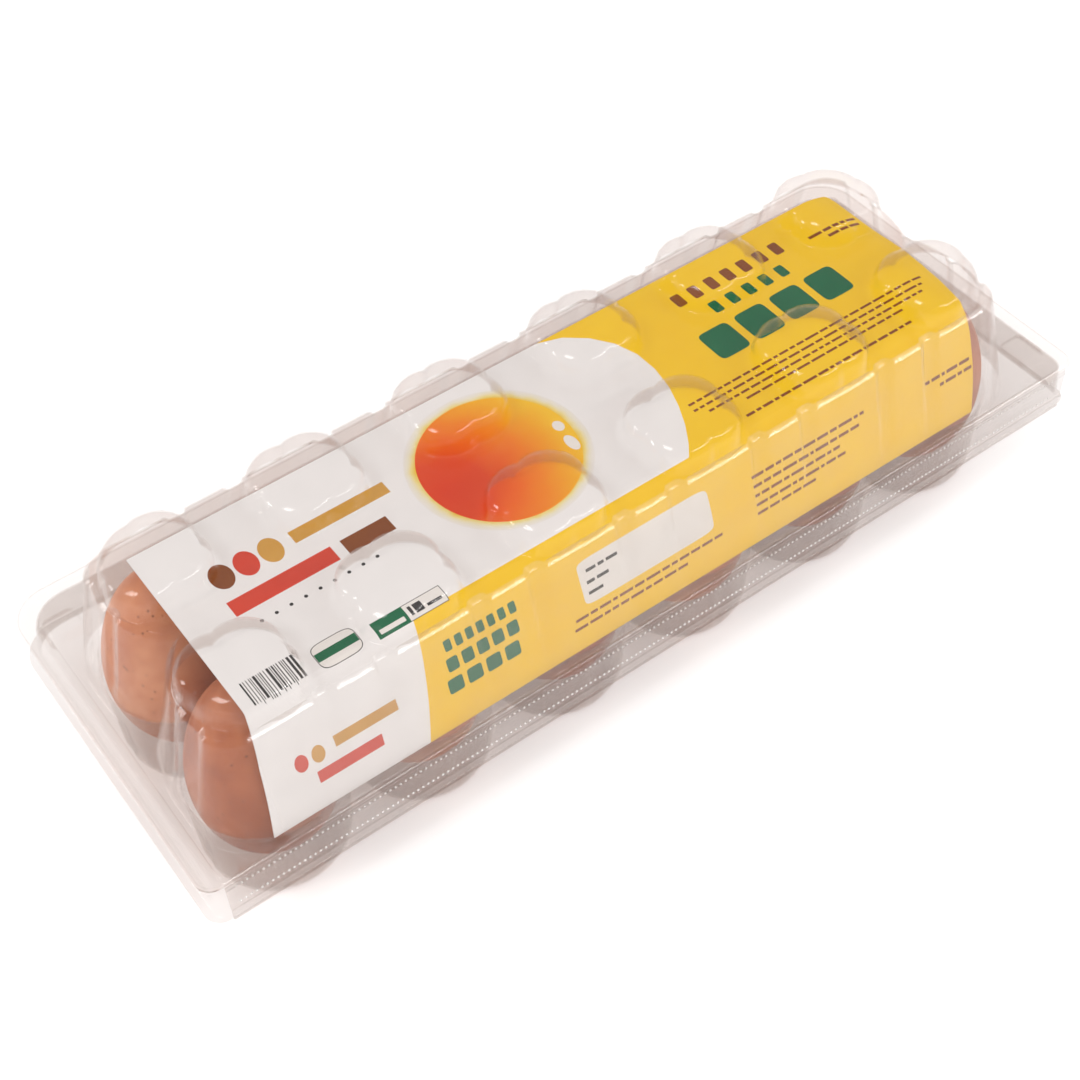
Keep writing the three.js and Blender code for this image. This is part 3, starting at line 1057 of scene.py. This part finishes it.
@dataclass(frozen=True)
class HingePanel:
    """The panel between the two fold lines at the front, with rows of pressed dots along its folds."""

    x0: float = -143.8
    x1: float = 157.8
    section: tuple[Flat, ...] = (
        (-48.45, 17.7), (-49.1, 17.92), (-49.12, 17.96), (-48.45, 18.51), (-48.45, 18.55), (-48.7, 19.2),
        (-48.75, 21.6), (-49.1, 22.3), (-49.38, 22.72), (-49.39, 22.76), (-48.7, 23.33), (-48.68, 23.37),
        (-48.75, 24.4), (-48.75, 31.4), (-49.15, 31.96), (-49.16, 32.0), (-48.6, 32.46), (-48.59, 32.5),
        (-48.7, 33.1))
    thickness: float = 0.35

    # Y and Z of each row, and a dot's shape: share of its radius, and how far it stands out
    dot_rows: tuple[Flat, ...] = ((-49.05, 24.6), (-49.0, 31.9))
    dot_margin: float = 3.0
    dot_pitch: float = 1.6
    dot_radius: float = 0.42
    dot_shape: tuple[Flat, ...] = ((1.0, 0.0), (0.75, 0.16), (0.4, 0.25))
    dot_tip: float = 0.28
    dot_sink: float = 0.3
    dot_sides: int = 8

    def dot(self, skin: Skin, x: float, y: float, z: float) -> None:
        """Adds one pressed dot that stands out to the front.

        Args:
            skin: The panel's surface.
            x: X of its middle.
            y: Y of its middle.
            z: Z of its middle.
        """
        rings: list[list[Point]] = []
        angles = [2 * math.pi * k / self.dot_sides for k in range(self.dot_sides)]
        for share, out in self.dot_shape:
            radius = self.dot_radius * share
            rings.append([(x + radius * math.cos(a), y - out + self.dot_sink, z + radius * math.sin(a))
                          for a in angles])
        # Slot 1 is the milky white film: a painted highlight on each dot
        skin.rings(rings, 1)
        skin.fan(rings[-1], (x, y - self.dot_tip + self.dot_sink, z), 1)

    def build(self, sheet: bpy.types.Material, dot_highlight_film: bpy.types.Material) -> bpy.types.Object:
        """Builds the panel.

        Args:
            sheet: Clear film of the piece.
            dot_highlight_film: Milky white film of the dots, a painted highlight.

        Returns:
            The panel.
        """
        skin = Skin()
        skin.sweep(self.section, self.x0, self.x1)
        count = int((self.x1 - self.x0 - 2 * self.dot_margin) / self.dot_pitch)
        for y, z in self.dot_rows:
            for i in range(count):
                self.dot(skin, self.x0 + self.dot_margin + i * self.dot_pitch, y, z)
        return skin.make("hinge_panel", [sheet, dot_highlight_film], self.thickness)

    def dress(self, piece: bpy.types.Object) -> None:
        """Sets the panel on the tray."""
        dress(piece, Body.TRAY, Slot.CLEAR)


@dataclass(frozen=True)
class HingeFold:
    """The thin fold that joins the panel's upper edge to the lid's rim."""

    x0: float = -143.8
    x1: float = 157.8
    section: tuple[Flat, ...] = (
        (-48.75, 32.9), (-49.0, 33.3), (-48.95, 33.7), (-48.6, 33.95), (-48.15, 34.0))
    tray_edge: Point = (0, -49.0, 33.1)
    lid_edge: Point = (0, -48.3, 34.0)

    def build(self, sheet: bpy.types.Material) -> bpy.types.Object:
        """Builds the fold.

        Args:
            sheet: Clear film of the piece.

        Returns:
            The fold.
        """
        skin = Skin()
        skin.sweep(self.section, self.x0, self.x1)
        return skin.make("hinge_fold", [sheet], 0.0, weighted=False)

    def dress(self, piece: bpy.types.Object) -> None:
        """Bakes the fold's place into its mesh; it rides neither the tray nor the lid.

        Args:
            piece: The fold.
        """
        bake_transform(piece)
        LOG.info("%s: %d faces between tray and lid", piece.name, len(piece.data.polygons))


class Ink(Enum):
    """Materials of the printed sheet, in the order of their slots."""

    WHITE = 0
    YELLOW = 1
    YOLK = 2
    HALO = 3
    PALE = 4
    GREEN = 5
    BROWN = 6
    BLACK = 7
    RED = 8
    GOLD = 9


@dataclass(frozen=True)
class Field:
    """One printed field: its outline on the flat sheet, and its ink."""

    ink: Ink
    outline: tuple[Flat, ...]

    def turning_left(self) -> list[Vector]:
        """Turns the outline round where it runs clockwise.

        Returns:
            Its points.
        """
        points = [Vector(point) for point in self.outline]
        area = sum(a.x * b.y - a.y * b.x for a, b in zip(points, points[1:] + points[:1]))
        return points if area > 0 else points[::-1]


def box_field(ink: Ink, x0: float, x1: float, t0: float, t1: float) -> Field:
    """A box, level with the sheet's edges.

    Args:
        ink: Its ink.
        x0: Left side.
        x1: Right side.
        t0: Rear side.
        t1: Front side.

    Returns:
        The field.
    """
    return Field(ink, ((x0, t0), (x0, t1), (x1, t1), (x1, t0)))


def round_field(ink: Ink, x: float, t: float, rx: float, rt: float, power: float = 1.0,
                steps: int = 48) -> Field:
    """An ellipse or a rounded box.

    Args:
        ink: Its ink.
        x: X of its middle.
        t: Distance of its middle from the rear edge.
        rx: Half its width.
        rt: Half its depth.
        power: 1 for an ellipse, less for a box.
        steps: Count of its points.

    Returns:
        The field.
    """
    circle = [on_rounded_box(step / steps, power) for step in range(steps)]
    return Field(ink, tuple((x + rx * c, t - rt * s) for c, s in circle))


@dataclass
class LabelSheet:
    """The printed sheet: flat under the roof, folded down the front, with plain fields as its print.

    A place on the flat sheet is X and t, the distance from the rear edge over the fold to the flap's end.
    """

    left: float = -121.2
    right: float = 127.4
    past_edge: float = 8.0

    # Each end of the sheet, as t and X
    right_edge: tuple[Flat, ...] = (
        (0.0, 125.6), (1.2, 126.6), (4.0, 127.0), (24.0, 126.8), (34.0, 127.4), (42.0, 127.3), (50.0, 126.4),
        (57.0, 124.8), (63.0, 123.3), (75.0, 122.0), (99.5, 120.6))
    left_edge: tuple[Flat, ...] = ((0.0, -121.2), (62.0, -121.3), (77.0, -123.9), (99.5, -126.6))
    thickness: float = 0.2
    rear_y: float = 31.5
    top_z: float = 69.2

    # Y and Z from the rear edge to the flap's end
    section: tuple[Flat, ...] = (
        (31.5, 69.2), (-28.6, 69.2), (-29.9, 69.0), (-31.2, 68.3), (-33.2, 66.3), (-34.9, 64.0),
        (-36.4, 61.5), (-37.8, 58.6), (-39.0, 55.5), (-40.1, 52.7), (-41.0, 50.0), (-42.0, 46.6),
        (-42.85, 43.0), (-43.5, 40.0), (-44.1, 36.8), (-44.5, 34.8))
    fold_t: float = 62.0

    # The right end sinks on to the end eggs, less between them, and flattens out down the flap
    sag_from: float = 114.5
    sag_mm: float = 2.8
    sag_between: float = 2.2
    sag_spread: float = 9.0
    sag_end: Flat = (60.0, 16.0)
    sag_columns: int = 7
    sag_rows: int = 20
    row_gap: float = 4.0

    # Edge of the white field on the yellow, as t and X
    white_edge: tuple[Flat, ...] = (
        (0.0, 13.0), (2.6, 20.5), (7.6, 26.5), (14.0, 31.0), (21.5, 33.4), (29.5, 33.6), (37.5, 32.2),
        (45.0, 29.6), (52.0, 26.3), (58.0, 22.6), (62.0, 19.5))
    flap_white_x: Flat = (-71.8, -78.5)

    # The yolk's middle, its half sizes, and the end from which its red goes over into yellow
    yolk_at: Flat = (-22.0, 30.4)
    yolk_size: Flat = (23.0, 23.6)
    halo_radius: float = 26.4
    red_end: Flat = (-41.0, 32.5)
    red_reach: float = 42.0

    # Bar code: its two ends, its two sides, and the widths, gaps and extra lengths to pick from
    code_x: Flat = (-117.9, -103.2)
    code_t: Flat = (53.4, 61.4)
    code_widths: tuple[float, ...] = (0.22, 0.3, 0.45, 0.7)
    code_gaps: tuple[float, ...] = (0.3, 0.42, 0.6)
    code_extra: tuple[float, ...] = (0.0, 0.0, 0.9)

    # Lines of small bars: shortest and longest bar, gap, and least room for one more bar
    bar_mm: Flat = (1.2, 5.2)
    bar_gap: float = 0.75
    bar_room: float = 1.0
    block_squareness: float = 0.3
    block_steps: int = 32
    seed: int = 7

    lengths: list[float] = field(init=False, default_factory=list)
    dice: random.Random = field(init=False)
    fields: list[Field] = field(init=False, default_factory=list)

    def __post_init__(self) -> None:
        """Measures the section and lays out the print."""
        self.lengths = [0.0]
        for (ay, az), (by, bz) in zip(self.section, self.section[1:]):
            self.lengths.append(self.lengths[-1] + math.hypot(by - ay, bz - az))
        self.dice = random.Random(self.seed)
        self.fields = [*self.grounds(), *self.marks(), *self.headings(), *self.small_print()]

    def on_section(self, x: float, t: float) -> Point:
        """Folds a point of the flat sheet.

        Args:
            x: Its X.
            t: Its distance from the rear edge.

        Returns:
            Its place on the folded sheet.
        """
        last = len(self.lengths) - 2
        for i, end in enumerate(self.lengths[1:]):
            if t <= end + 1e-6 or i == last:
                share = (t - self.lengths[i]) / (end - self.lengths[i])
                (ay, az), (by, bz) = self.section[i], self.section[i + 1]
                return (x, lerp(ay, by, share), lerp(az, bz, share) - self.sag(x, t))
        raise ValueError("t lies beyond the sheet")

    def sag(self, x: float, t: float) -> float:
        """How far the right end sinks on to the end eggs.

        Args:
            x: Place along the sheet.
            t: Distance from the rear edge.

        Returns:
            The depth.
        """
        between = math.exp(-((t - self.rear_y) / self.sag_spread) ** 2)
        depth = self.sag_mm - (self.sag_mm - self.sag_between) * between
        reach = max(0.0, (x - self.sag_from) / (self.right - self.sag_from))
        end, run = self.sag_end
        return depth * reach ** 2 * (1 - smooth((t - end) / run))

    def grounds(self) -> list[Field]:
        """Lays out the yellow field, the white one with its curved edge, and the yolk.

        Returns:
            The fields, each over the last.
        """
        end, fold, out = self.lengths[-1], self.fold_t, self.left - self.past_edge
        left, right = [[(x, min(t, end)) for t, x in edge] for edge in (self.left_edge, self.right_edge)]
        curve = [(x, t) for t, x in reversed(self.white_edge)]
        fold_x, end_x = self.flap_white_x
        return [Field(Ink.YELLOW, (*left, *reversed(right))),
                Field(Ink.WHITE, ((out, 0.0), (out, fold), *curve)),
                Field(Ink.WHITE, ((out, fold), (out, end), (end_x, end), (fold_x, fold))),
                round_field(Ink.HALO, *self.yolk_at, self.halo_radius, self.halo_radius, steps=72),
                round_field(Ink.YOLK, *self.yolk_at, *self.yolk_size, steps=72),
                round_field(Ink.PALE, -1.8, 30.6, 1.6, 2.1),
                round_field(Ink.PALE, -2.6, 38.0, 1.7, 3.2)]

    def bar_code(self) -> list[Field]:
        """Lays out uneven upright bars, some of them longer.

        Returns:
            The bars.
        """
        fields: list[Field] = []
        x, end = self.code_x
        rear, front = self.code_t
        while x < end:
            width = self.dice.choice(self.code_widths)
            fields.append(box_field(Ink.BLACK, x, x + width, rear, front + self.dice.choice(self.code_extra)))
            x += width + self.dice.choice(self.code_gaps)
        return fields

    def marks(self) -> list[Field]:
        """Lays out the bar code, the badge, the tab, and plain ovals, bars and dots.

        Returns:
            The fields.
        """
        badge = [round_field(Ink.BLACK, -92.4, 58.6, 6.35, 4.15, 0.45),
                 round_field(Ink.PALE, -92.4, 58.6, 6.15, 3.95, 0.45),
                 box_field(Ink.GREEN, -98.45, -86.35, 57.2, 60.0)]
        tab = [box_field(ink, *box) for ink, box in (
            (Ink.BLACK, (-82.0, -60.7, 57.4, 62.9)), (Ink.PALE, (-81.8, -60.9, 57.6, 62.7)),
            (Ink.GREEN, (-82.0, -72.4, 57.4, 62.9)), (Ink.PALE, (-81.0, -73.4, 60.5, 61.9)),
            (Ink.BLACK, (-71.4, -70.5, 58.6, 61.6)), (Ink.BLACK, (-69.9, -67.4, 58.6, 61.6)),
            (Ink.BLACK, (-66.4, -62.0, 60.6, 61.5)))]
        ovals = [round_field(ink, x, 20.5, 3.3, 4.6)
                 for x, ink in ((-104.0, Ink.BROWN), (-96.5, Ink.RED), (-89.0, Ink.GOLD))]
        bars = [box_field(Ink.GOLD, -82.5, -52.5, 18.0, 22.6), box_field(Ink.RED, -107.5, -76.0, 29.0, 34.6),
                box_field(Ink.BROWN, -73.0, -58.5, 29.0, 34.6)]
        dots = [round_field(Ink.BLACK, -103.0 + 4.4 * k, 39.6, 0.55, 0.55, steps=12) for k in range(9)]
        flap = [*[round_field(ink, x, 82.0, 1.9, 2.7) for x, ink in ((-113.5, Ink.RED), (-108.5, Ink.GOLD))],
                box_field(Ink.GOLD, -103.5, -84.5, 79.5, 83.0), box_field(Ink.RED, -110.5, -91.0, 87.0, 91.0)]
        return [*self.bar_code(), *badge, *tab, *ovals, *bars, *dots, *flap]

    def blocks(self, ink: Ink, x0: float, x1: float, t0: float, t1: float, count: int,
               gap: float) -> list[Field]:
        """Lays out a row of plain rounded blocks.

        Args:
            ink: Their ink.
            x0: Left end.
            x1: Right end.
            t0: Rear side.
            t1: Front side.
            count: Count of blocks.
            gap: Gap between two.

        Returns:
            The blocks.
        """
        pitch = (x1 - x0 + gap) / count
        return [round_field(ink, x0 + pitch * (k + 0.5) - gap / 2, (t0 + t1) / 2, (pitch - gap) / 2,
                            (t1 - t0) / 2, self.block_squareness, self.block_steps) for k in range(count)]

    def headings(self) -> list[Field]:
        """Lays out three rows of blocks on the top and three on the flap.

        Returns:
            The blocks.
        """
        rows = ((Ink.BROWN, 55.6, 97.0, 8.4, 13.8, 7, 3.0), (Ink.GREEN, 62.8, 91.6, 17.4, 22.4, 5, 3.2),
                (Ink.GREEN, 51.4, 102.8, 26.4, 38.8, 4, 2.6), (Ink.GREEN, -67.3, -44.6, 71.8, 75.2, 7, 1.2),
                (Ink.GREEN, -68.2, -45.4, 77.2, 81.4, 5, 1.3), (Ink.GREEN, -69.6, -46.6, 83.4, 88.2, 4, 1.4))
        return [block for row in rows for block in self.blocks(*row)]

    def words(self, ink: Ink, x0: float, x1: float, t: float, height: float) -> list[Field]:
        """Lays out a line of small bars of uneven length.

        Args:
            ink: Their ink.
            x0: Left end.
            x1: Right end.
            t: Rear side.
            height: Their height.

        Returns:
            The bars.
        """
        fields: list[Field] = []
        x = x0
        while x < x1 - self.bar_room:
            width = min(self.dice.uniform(*self.bar_mm), x1 - x)
            fields.append(box_field(ink, x, x + width, t, t + height))
            x += width + self.bar_gap
        return fields

    def small_print(self) -> list[Field]:
        """Lays out lines of small bars, and the white box on the flap.

        Returns:
            The fields.
        """
        brown = [(31.8, 121.4, 46.4, 0.85), (31.6, 119.4, 49.0, 0.85), (35.0, 117.0, 51.6, 0.85),
                 (46.5, 106.5, 54.2, 0.85), (42.0, 105.0, 59.4, 0.95), (106.4, 125.4, 13.2, 1.2),
                 (112.0, 124.8, 16.0, 1.2)]
        in_box = [(-22.0, -11.4, 75.0, 1.0), (-22.6, -13.6, 78.6, 1.0), (-22.8, -17.6, 82.0, 1.0)]
        flap = [(-28.6, 23.0, 88.4, 1.0), (-29.4, 10.0, 91.4, 1.0)]
        flap += [(36.0, x1, 76.6 + 3.1 * k, 1.0) for k, x1 in enumerate((80.0, 76.0, 68.0, 70.0, 58.0))]
        flap += [(102.4, 121.6, 79.4, 1.1), (108.0, 121.0, 82.4, 1.1)]
        fields = [bar for line in brown for bar in self.words(Ink.BROWN, *line)]
        fields.append(round_field(Ink.PALE, -2.0, 79.0, 22.6, 7.0, 0.18))
        fields += [bar for line in in_box for bar in self.words(Ink.BLACK, *line)]
        return fields + [bar for line in flap for bar in self.words(Ink.BROWN, *line)]

    def on_top(self, place: Flat) -> Point:
        """The place on the flat top of X and t."""
        return (place[0], self.rear_y - place[1], self.top_z)

    def finishes(self) -> list[PaperFinish]:
        """Makes the ink finishes.

        Returns:
            The finishes, in slot order.
        """
        orange = ((0.0, "DA3A06"), (0.28, "DE440A"), (0.45, "EA640C"), (0.64, "EE8410"), (0.82, "F0A818"),
                  (0.97, "F4C428"))
        cream = ((0.86, "E8C23A"), (0.9, "EBD98A"), (0.95, "E8E4CF"), (1.0, "E9E7E3"))
        blends = {Ink.YOLK: RoundFinish("Paper_coated_offset_orange_blend", orange,
                                        centre=self.on_top(self.red_end), radius=self.red_reach),
                  Ink.HALO: RoundFinish("Paper_coated_offset_cream_blend", cream,
                                        centre=self.on_top(self.yolk_at), radius=self.halo_radius)}
        inks = {Ink.WHITE: ("EBEBEB", "EFEFEF"), Ink.YELLOW: ("F3C616", "F6CC1A"),
                Ink.PALE: ("E6E4E0", "ECEAE6"), Ink.GREEN: ("06623E", "0A6A44"),
                Ink.BROWN: ("7C4014", "8A4A18"), Ink.BLACK: ("2E2C2C", "3C3A3A"),
                Ink.RED: ("CC3D28", "D8452E"), Ink.GOLD: ("C8953E", "D2A04A")}
        plain = {ink: PaperFinish(f"Paper_coated_offset_{ink.name.lower()}", ((0.3, deep), (0.7, full)))
                 for ink, (deep, full) in inks.items()}
        return [(plain | blends)[ink] for ink in Ink]

    def creases(self) -> list[tuple[Flat, Flat]]:
        """Lines that split the sheet at its folds and over its sagging end.

        Returns:
            The two ends of each line.
        """
        end, out = self.lengths[-1], self.left - self.past_edge
        lines = [((out, t), (self.right, t)) for t in self.lengths[1:-1]]
        columns = [lerp(self.sag_from, self.right, k / self.sag_columns) for k in range(1, self.sag_columns)]
        lines += [((x, 0.0), (x, end)) for x in columns]
        rows = [self.row_gap * k for k in range(1, self.sag_rows)]
        return lines + [((self.sag_from - 1, t), (self.right, t)) for t in rows]

    def build(self) -> bpy.types.Object:
        """Builds the sheet: the flat fields are split together, then folded.

        Returns:
            The sheet.
        """
        flat: list[Vector] = []
        outlines: list[list[int]] = []
        edges: list[tuple[int, int]] = []
        for printed in self.fields:
            outlines.append(list(range(len(flat), len(flat) + len(printed.outline))))
            flat += printed.turning_left()
        for crease in self.creases():
            edges.append((len(flat), len(flat) + 1))
            flat += [Vector(point) for point in crease]
        points, _, triangles, _, _, owners = delaunay_2d_cdt(flat, edges, outlines, 1, 1e-5, True)
        skin = Skin()
        for triangle, owner in zip(triangles, owners):
            if 0 in owner:
                ink = self.fields[max(owner)].ink
                skin.face([self.on_section(points[i].x, points[i].y) for i in reversed(triangle)], ink.value)
        return skin.make("label_sheet", [finish.build() for finish in self.finishes()], self.thickness)

    def dress(self, piece: bpy.types.Object) -> None:
        """Puts the sheet in the place of the label."""
        dress(piece, Body.TRAY, Slot.PAPER, "label")


@dataclass(frozen=True)
class Egg:
    """A hen's egg, pointed end up: its cell, shade, height, greatest diameter, taper, lean and turn."""

    row: str
    column: int
    slot: Slot
    height: float
    diameter: float
    taper: float
    lean: float
    turn: float
    tip_z: float = 5.5
    unevenness: float = 0.004
    bumps: float = 1.1
    sides: int = 72
    steps: int = 48

    def build(self, shell: bpy.types.Material) -> bpy.types.Object:
        """Builds the egg, a little uneven as eggs are.

        Args:
            shell: Its shell's material.

        Returns:
            The egg.
        """
        side = -1 if self.row == "front" else 1
        turn = Matrix.Rotation(math.radians(self.turn), 3, "Z")
        turn @= Matrix.Rotation(math.radians(self.lean), 3, "Y")
        seat = Vector((column_x(self.column), side * ROW_Y, self.tip_z))
        seed = Vector((self.column * 3.1, side * 7.7, self.taper * 40))
        half = self.height / 2
        rings: list[list[Point]] = []
        for step in range(self.steps + 1):
            angle = math.pi * step / self.steps - math.pi / 2
            s = math.sin(angle)
            widest = 1 + self.taper ** 2 / 2
            radius = abs(math.cos(angle)) * (1 - self.taper * s) / widest * self.diameter / 2
            ring: list[Point] = []
            for k in range(self.sides):
                a = 2 * math.pi * k / self.sides
                way = Vector((math.cos(a), math.sin(a), s))
                swell = 1 - self.unevenness * (1 + noise(way * self.bumps + seed))
                point = Vector((way.x * radius * swell, way.y * radius * swell, half + s * half))
                ring.append(tuple(turn @ point + seat))
            rings.append(ring)
        skin = Skin()
        skin.rings(rings)
        return skin.make(f"egg_shell_{self.row}_{self.column + 1}", [shell], weighted=False)

    def dress(self, piece: bpy.types.Object) -> None:
        """Sets the egg on the tray in the place of the plain one."""
        dress(piece, Body.TRAY, self.slot, f"egg_{self.row}_{self.column + 1}")


@dataclass(frozen=True)
class Clutch:
    """The twelve eggs from left to right: shade, height, diameter, taper, and lean and turn in degrees."""

    front: tuple[tuple[Slot, float, float, float, float, float], ...] = (
        (Slot.BROWN, 62.6, 41.1, 0.13, 0.8, 20), (Slot.LIGHT, 61.4, 40.6, 0.10, 1.1, 140),
        (Slot.DARK, 62.0, 41.2, 0.15, 0.5, 75), (Slot.LIGHT, 60.8, 40.9, 0.12, 1.0, 200),
        (Slot.BROWN, 62.7, 40.4, 0.11, 0.7, 310), (Slot.BROWN, 61.7, 40.8, 0.06, 0.2, 75))
    rear: tuple[tuple[Slot, float, float, float, float, float], ...] = (
        (Slot.LIGHT, 61.9, 41.2, 0.16, 0.9, 110), (Slot.BROWN, 62.5, 40.5, 0.12, 0.6, 35),
        (Slot.LIGHT, 61.1, 41.0, 0.10, 1.0, 290), (Slot.DARK, 62.3, 40.8, 0.14, 0.8, 170),
        (Slot.BROWN, 60.9, 41.2, 0.13, 1.1, 60), (Slot.LIGHT, 62.6, 40.7, 0.04, 0.4, 320))
    finishes: tuple[EggshellFinish, ...] = (
        EggshellFinish(Slot.LIGHT, "D9986E", "C98158", "B96E48"),
        EggshellFinish(Slot.BROWN, "C1774C", "AC613A", "98502D"),
        EggshellFinish(Slot.DARK, "C07449", "AC5F39", "96492B"))

    def eggs(self) -> Iterable[Egg]:
        """Goes through the eggs, front row first.

        Yields:
            The eggs.
        """
        for row, sizes in (("front", self.front), ("rear", self.rear)):
            for column, size in enumerate(sizes):
                yield Egg(row, column, *size)

    def build(self) -> None:
        """Builds the eggs and dresses each in the shell of its shade."""
        shells = {finish.slot: finish.build() for finish in self.finishes}
        for egg in self.eggs():
            egg.dress(egg.build(shells[egg.slot]))


@dataclass(frozen=True)
class SoftLight:
    """A rectangular studio light: its place and aim in the row frame, its width and height in metres."""

    name: str
    place: Point
    size: Flat
    watts: float
    aim: Point = (0.0, 0.0, 0.04)

    def build(self) -> None:
        """Hangs the light."""
        data = bpy.data.lights.new(self.name, "AREA")
        data.energy = self.watts
        data.shape = "RECTANGLE"
        data.size, data.size_y = self.size
        light = bpy.data.objects.new(self.name, data)
        light.location = self.place
        light.rotation_mode = "QUATERNION"
        light.rotation_quaternion = (Vector(self.aim) - Vector(self.place)).to_track_quat("-Z", "Y")
        bpy.context.scene.collection.objects.link(light)


@dataclass(frozen=True)
class Studio:
    """Pale floor, soft lights and the camera."""

    floor_z: float = -0.0002
    floor_reach: float = 4.0
    room_light: float = 0.76
    lights: tuple[SoftLight, ...] = (
        SoftLight("key_left", (-0.9, -0.1, 1.25), (0.5, 0.5), 7.0),
        SoftLight("kicker_left", (-1.07, 0.67, 0.39), (0.28, 0.28), 2.5),
        SoftLight("fill_right", (1.1, -0.8, 0.9), (0.6, 0.6), 2.0),
        SoftLight("strip_front", (0.55, -0.967, 0.841), (1.2, 0.09), 5.0, (0.55, -0.048, 0.07)))
    picture_px: int = 1080

    # The camera, from points of the pack measured in the photograph
    camera_at: Point = (-206.58, -286.13, 432.47)
    azimuth_deg: float = 34.55
    elevation_deg: float = 49.21
    roll_deg: float = -2.41
    focal_px: float = 1811.4
    centre_px: Flat = (541.7, 532.7)
    sensor_mm: float = 36.0
    clip: Flat = (0.01, 50.0)
    clear_layers: int = 64

    def floor(self) -> None:
        """Lays the floor just under the cups."""
        mesh = bpy.data.meshes.new("floor")
        reach = self.floor_reach
        corners = ((-reach, -reach), (reach, -reach), (reach, reach), (-reach, reach))
        mesh.from_pydata([(x, y, self.floor_z) for x, y in corners], [], [(0, 1, 2, 3)])
        mesh.materials.append(FloorFinish().build())
        floor = bpy.data.objects.new("floor", mesh)
        bpy.context.scene.collection.objects.link(floor)

    def world(self) -> None:
        """Lights the room evenly."""
        world = bpy.data.worlds.new("studio")
        world.use_nodes = True
        background = world.node_tree.nodes["Background"]
        background.inputs["Color"].default_value = (1.0, 1.0, 1.0, 1.0)
        background.inputs["Strength"].default_value = self.room_light
        bpy.context.scene.world = world

    def camera_turn(self) -> Matrix:
        """Works out the camera's rotation from its azimuth, elevation and roll.

        Returns:
            The rotation.
        """
        azimuth, elevation = math.radians(self.azimuth_deg), math.radians(self.elevation_deg)
        roll = math.radians(self.roll_deg)
        ahead = Vector((math.cos(elevation) * math.sin(azimuth), math.cos(elevation) * math.cos(azimuth),
                        -math.sin(elevation)))
        right = Vector((math.cos(azimuth), -math.sin(azimuth), 0.0))
        up = right.cross(ahead)
        across = right * math.cos(roll) + up * math.sin(roll)
        upward = up * math.cos(roll) - right * math.sin(roll)
        return Matrix((across, upward, -ahead)).transposed().to_4x4()

    def camera(self) -> None:
        """Sets the camera."""
        data = bpy.data.cameras.new("camera")
        data.sensor_width = self.sensor_mm
        data.lens = self.focal_px / self.picture_px * data.sensor_width
        data.shift_x = (self.picture_px / 2 - self.centre_px[0]) / self.picture_px
        data.shift_y = (self.centre_px[1] - self.picture_px / 2) / self.picture_px
        data.clip_start, data.clip_end = self.clip
        camera = bpy.data.objects.new("camera", data)
        camera.matrix_world = Matrix.Translation(Vector(to_row(self.camera_at))) @ self.camera_turn()
        bpy.context.scene.collection.objects.link(camera)
        bpy.context.scene.camera = camera

    def build(self) -> None:
        """Sets up the studio, with enough clear layers for light to pass every wall of the pack."""
        self.floor()
        self.world()
        for light in self.lights:
            light.build()
        self.camera()
        scene = bpy.context.scene
        scene.view_settings.view_transform = "Standard"
        scene.cycles.transparent_max_bounces = self.clear_layers


def main() -> None:
    """Builds the studio, then the pack from the tray up."""
    logging.basicConfig(level=logging.INFO, format="%(message)s")
    Studio().build()

    # Plain film of the lid; the tray and the hinge panel take a copy tinted a little darker
    sheet = ClearSheetFinish().build()
    darker_sheet = ClearSheetFinish("PET_clear_darker_tray", tint="F5F3F2").build()
    tray = TrayFilm()
    tray.dress(tray.build(darker_sheet))

    # The dots pressed along the folds take a milky white copy of the film, a painted highlight of the light
    # on them
    dot_highlight_film = ClearSheetFinish("PET_dots_painted_highlight", haze=(0.5, 0.8), haze_colour="F6F2F0").build()
    panel = HingePanel()
    panel.dress(panel.build(darker_sheet, dot_highlight_film))

    Clutch().build()
    label = LabelSheet()
    label.dress(label.build())

    # The lid's long walls and end flutes take a milkier copy of the film, a painted reflection of the light
    # on them
    drawn = ClearSheetFinish("PET_clear_wall_painted_reflection", haze=(0.035, 0.09)).build()
    lid = LidFilm()
    lid.dress(lid.build(sheet, drawn))
    fold = HingeFold()
    fold.dress(fold.build(sheet))


if __name__ == "__main__":
    main()
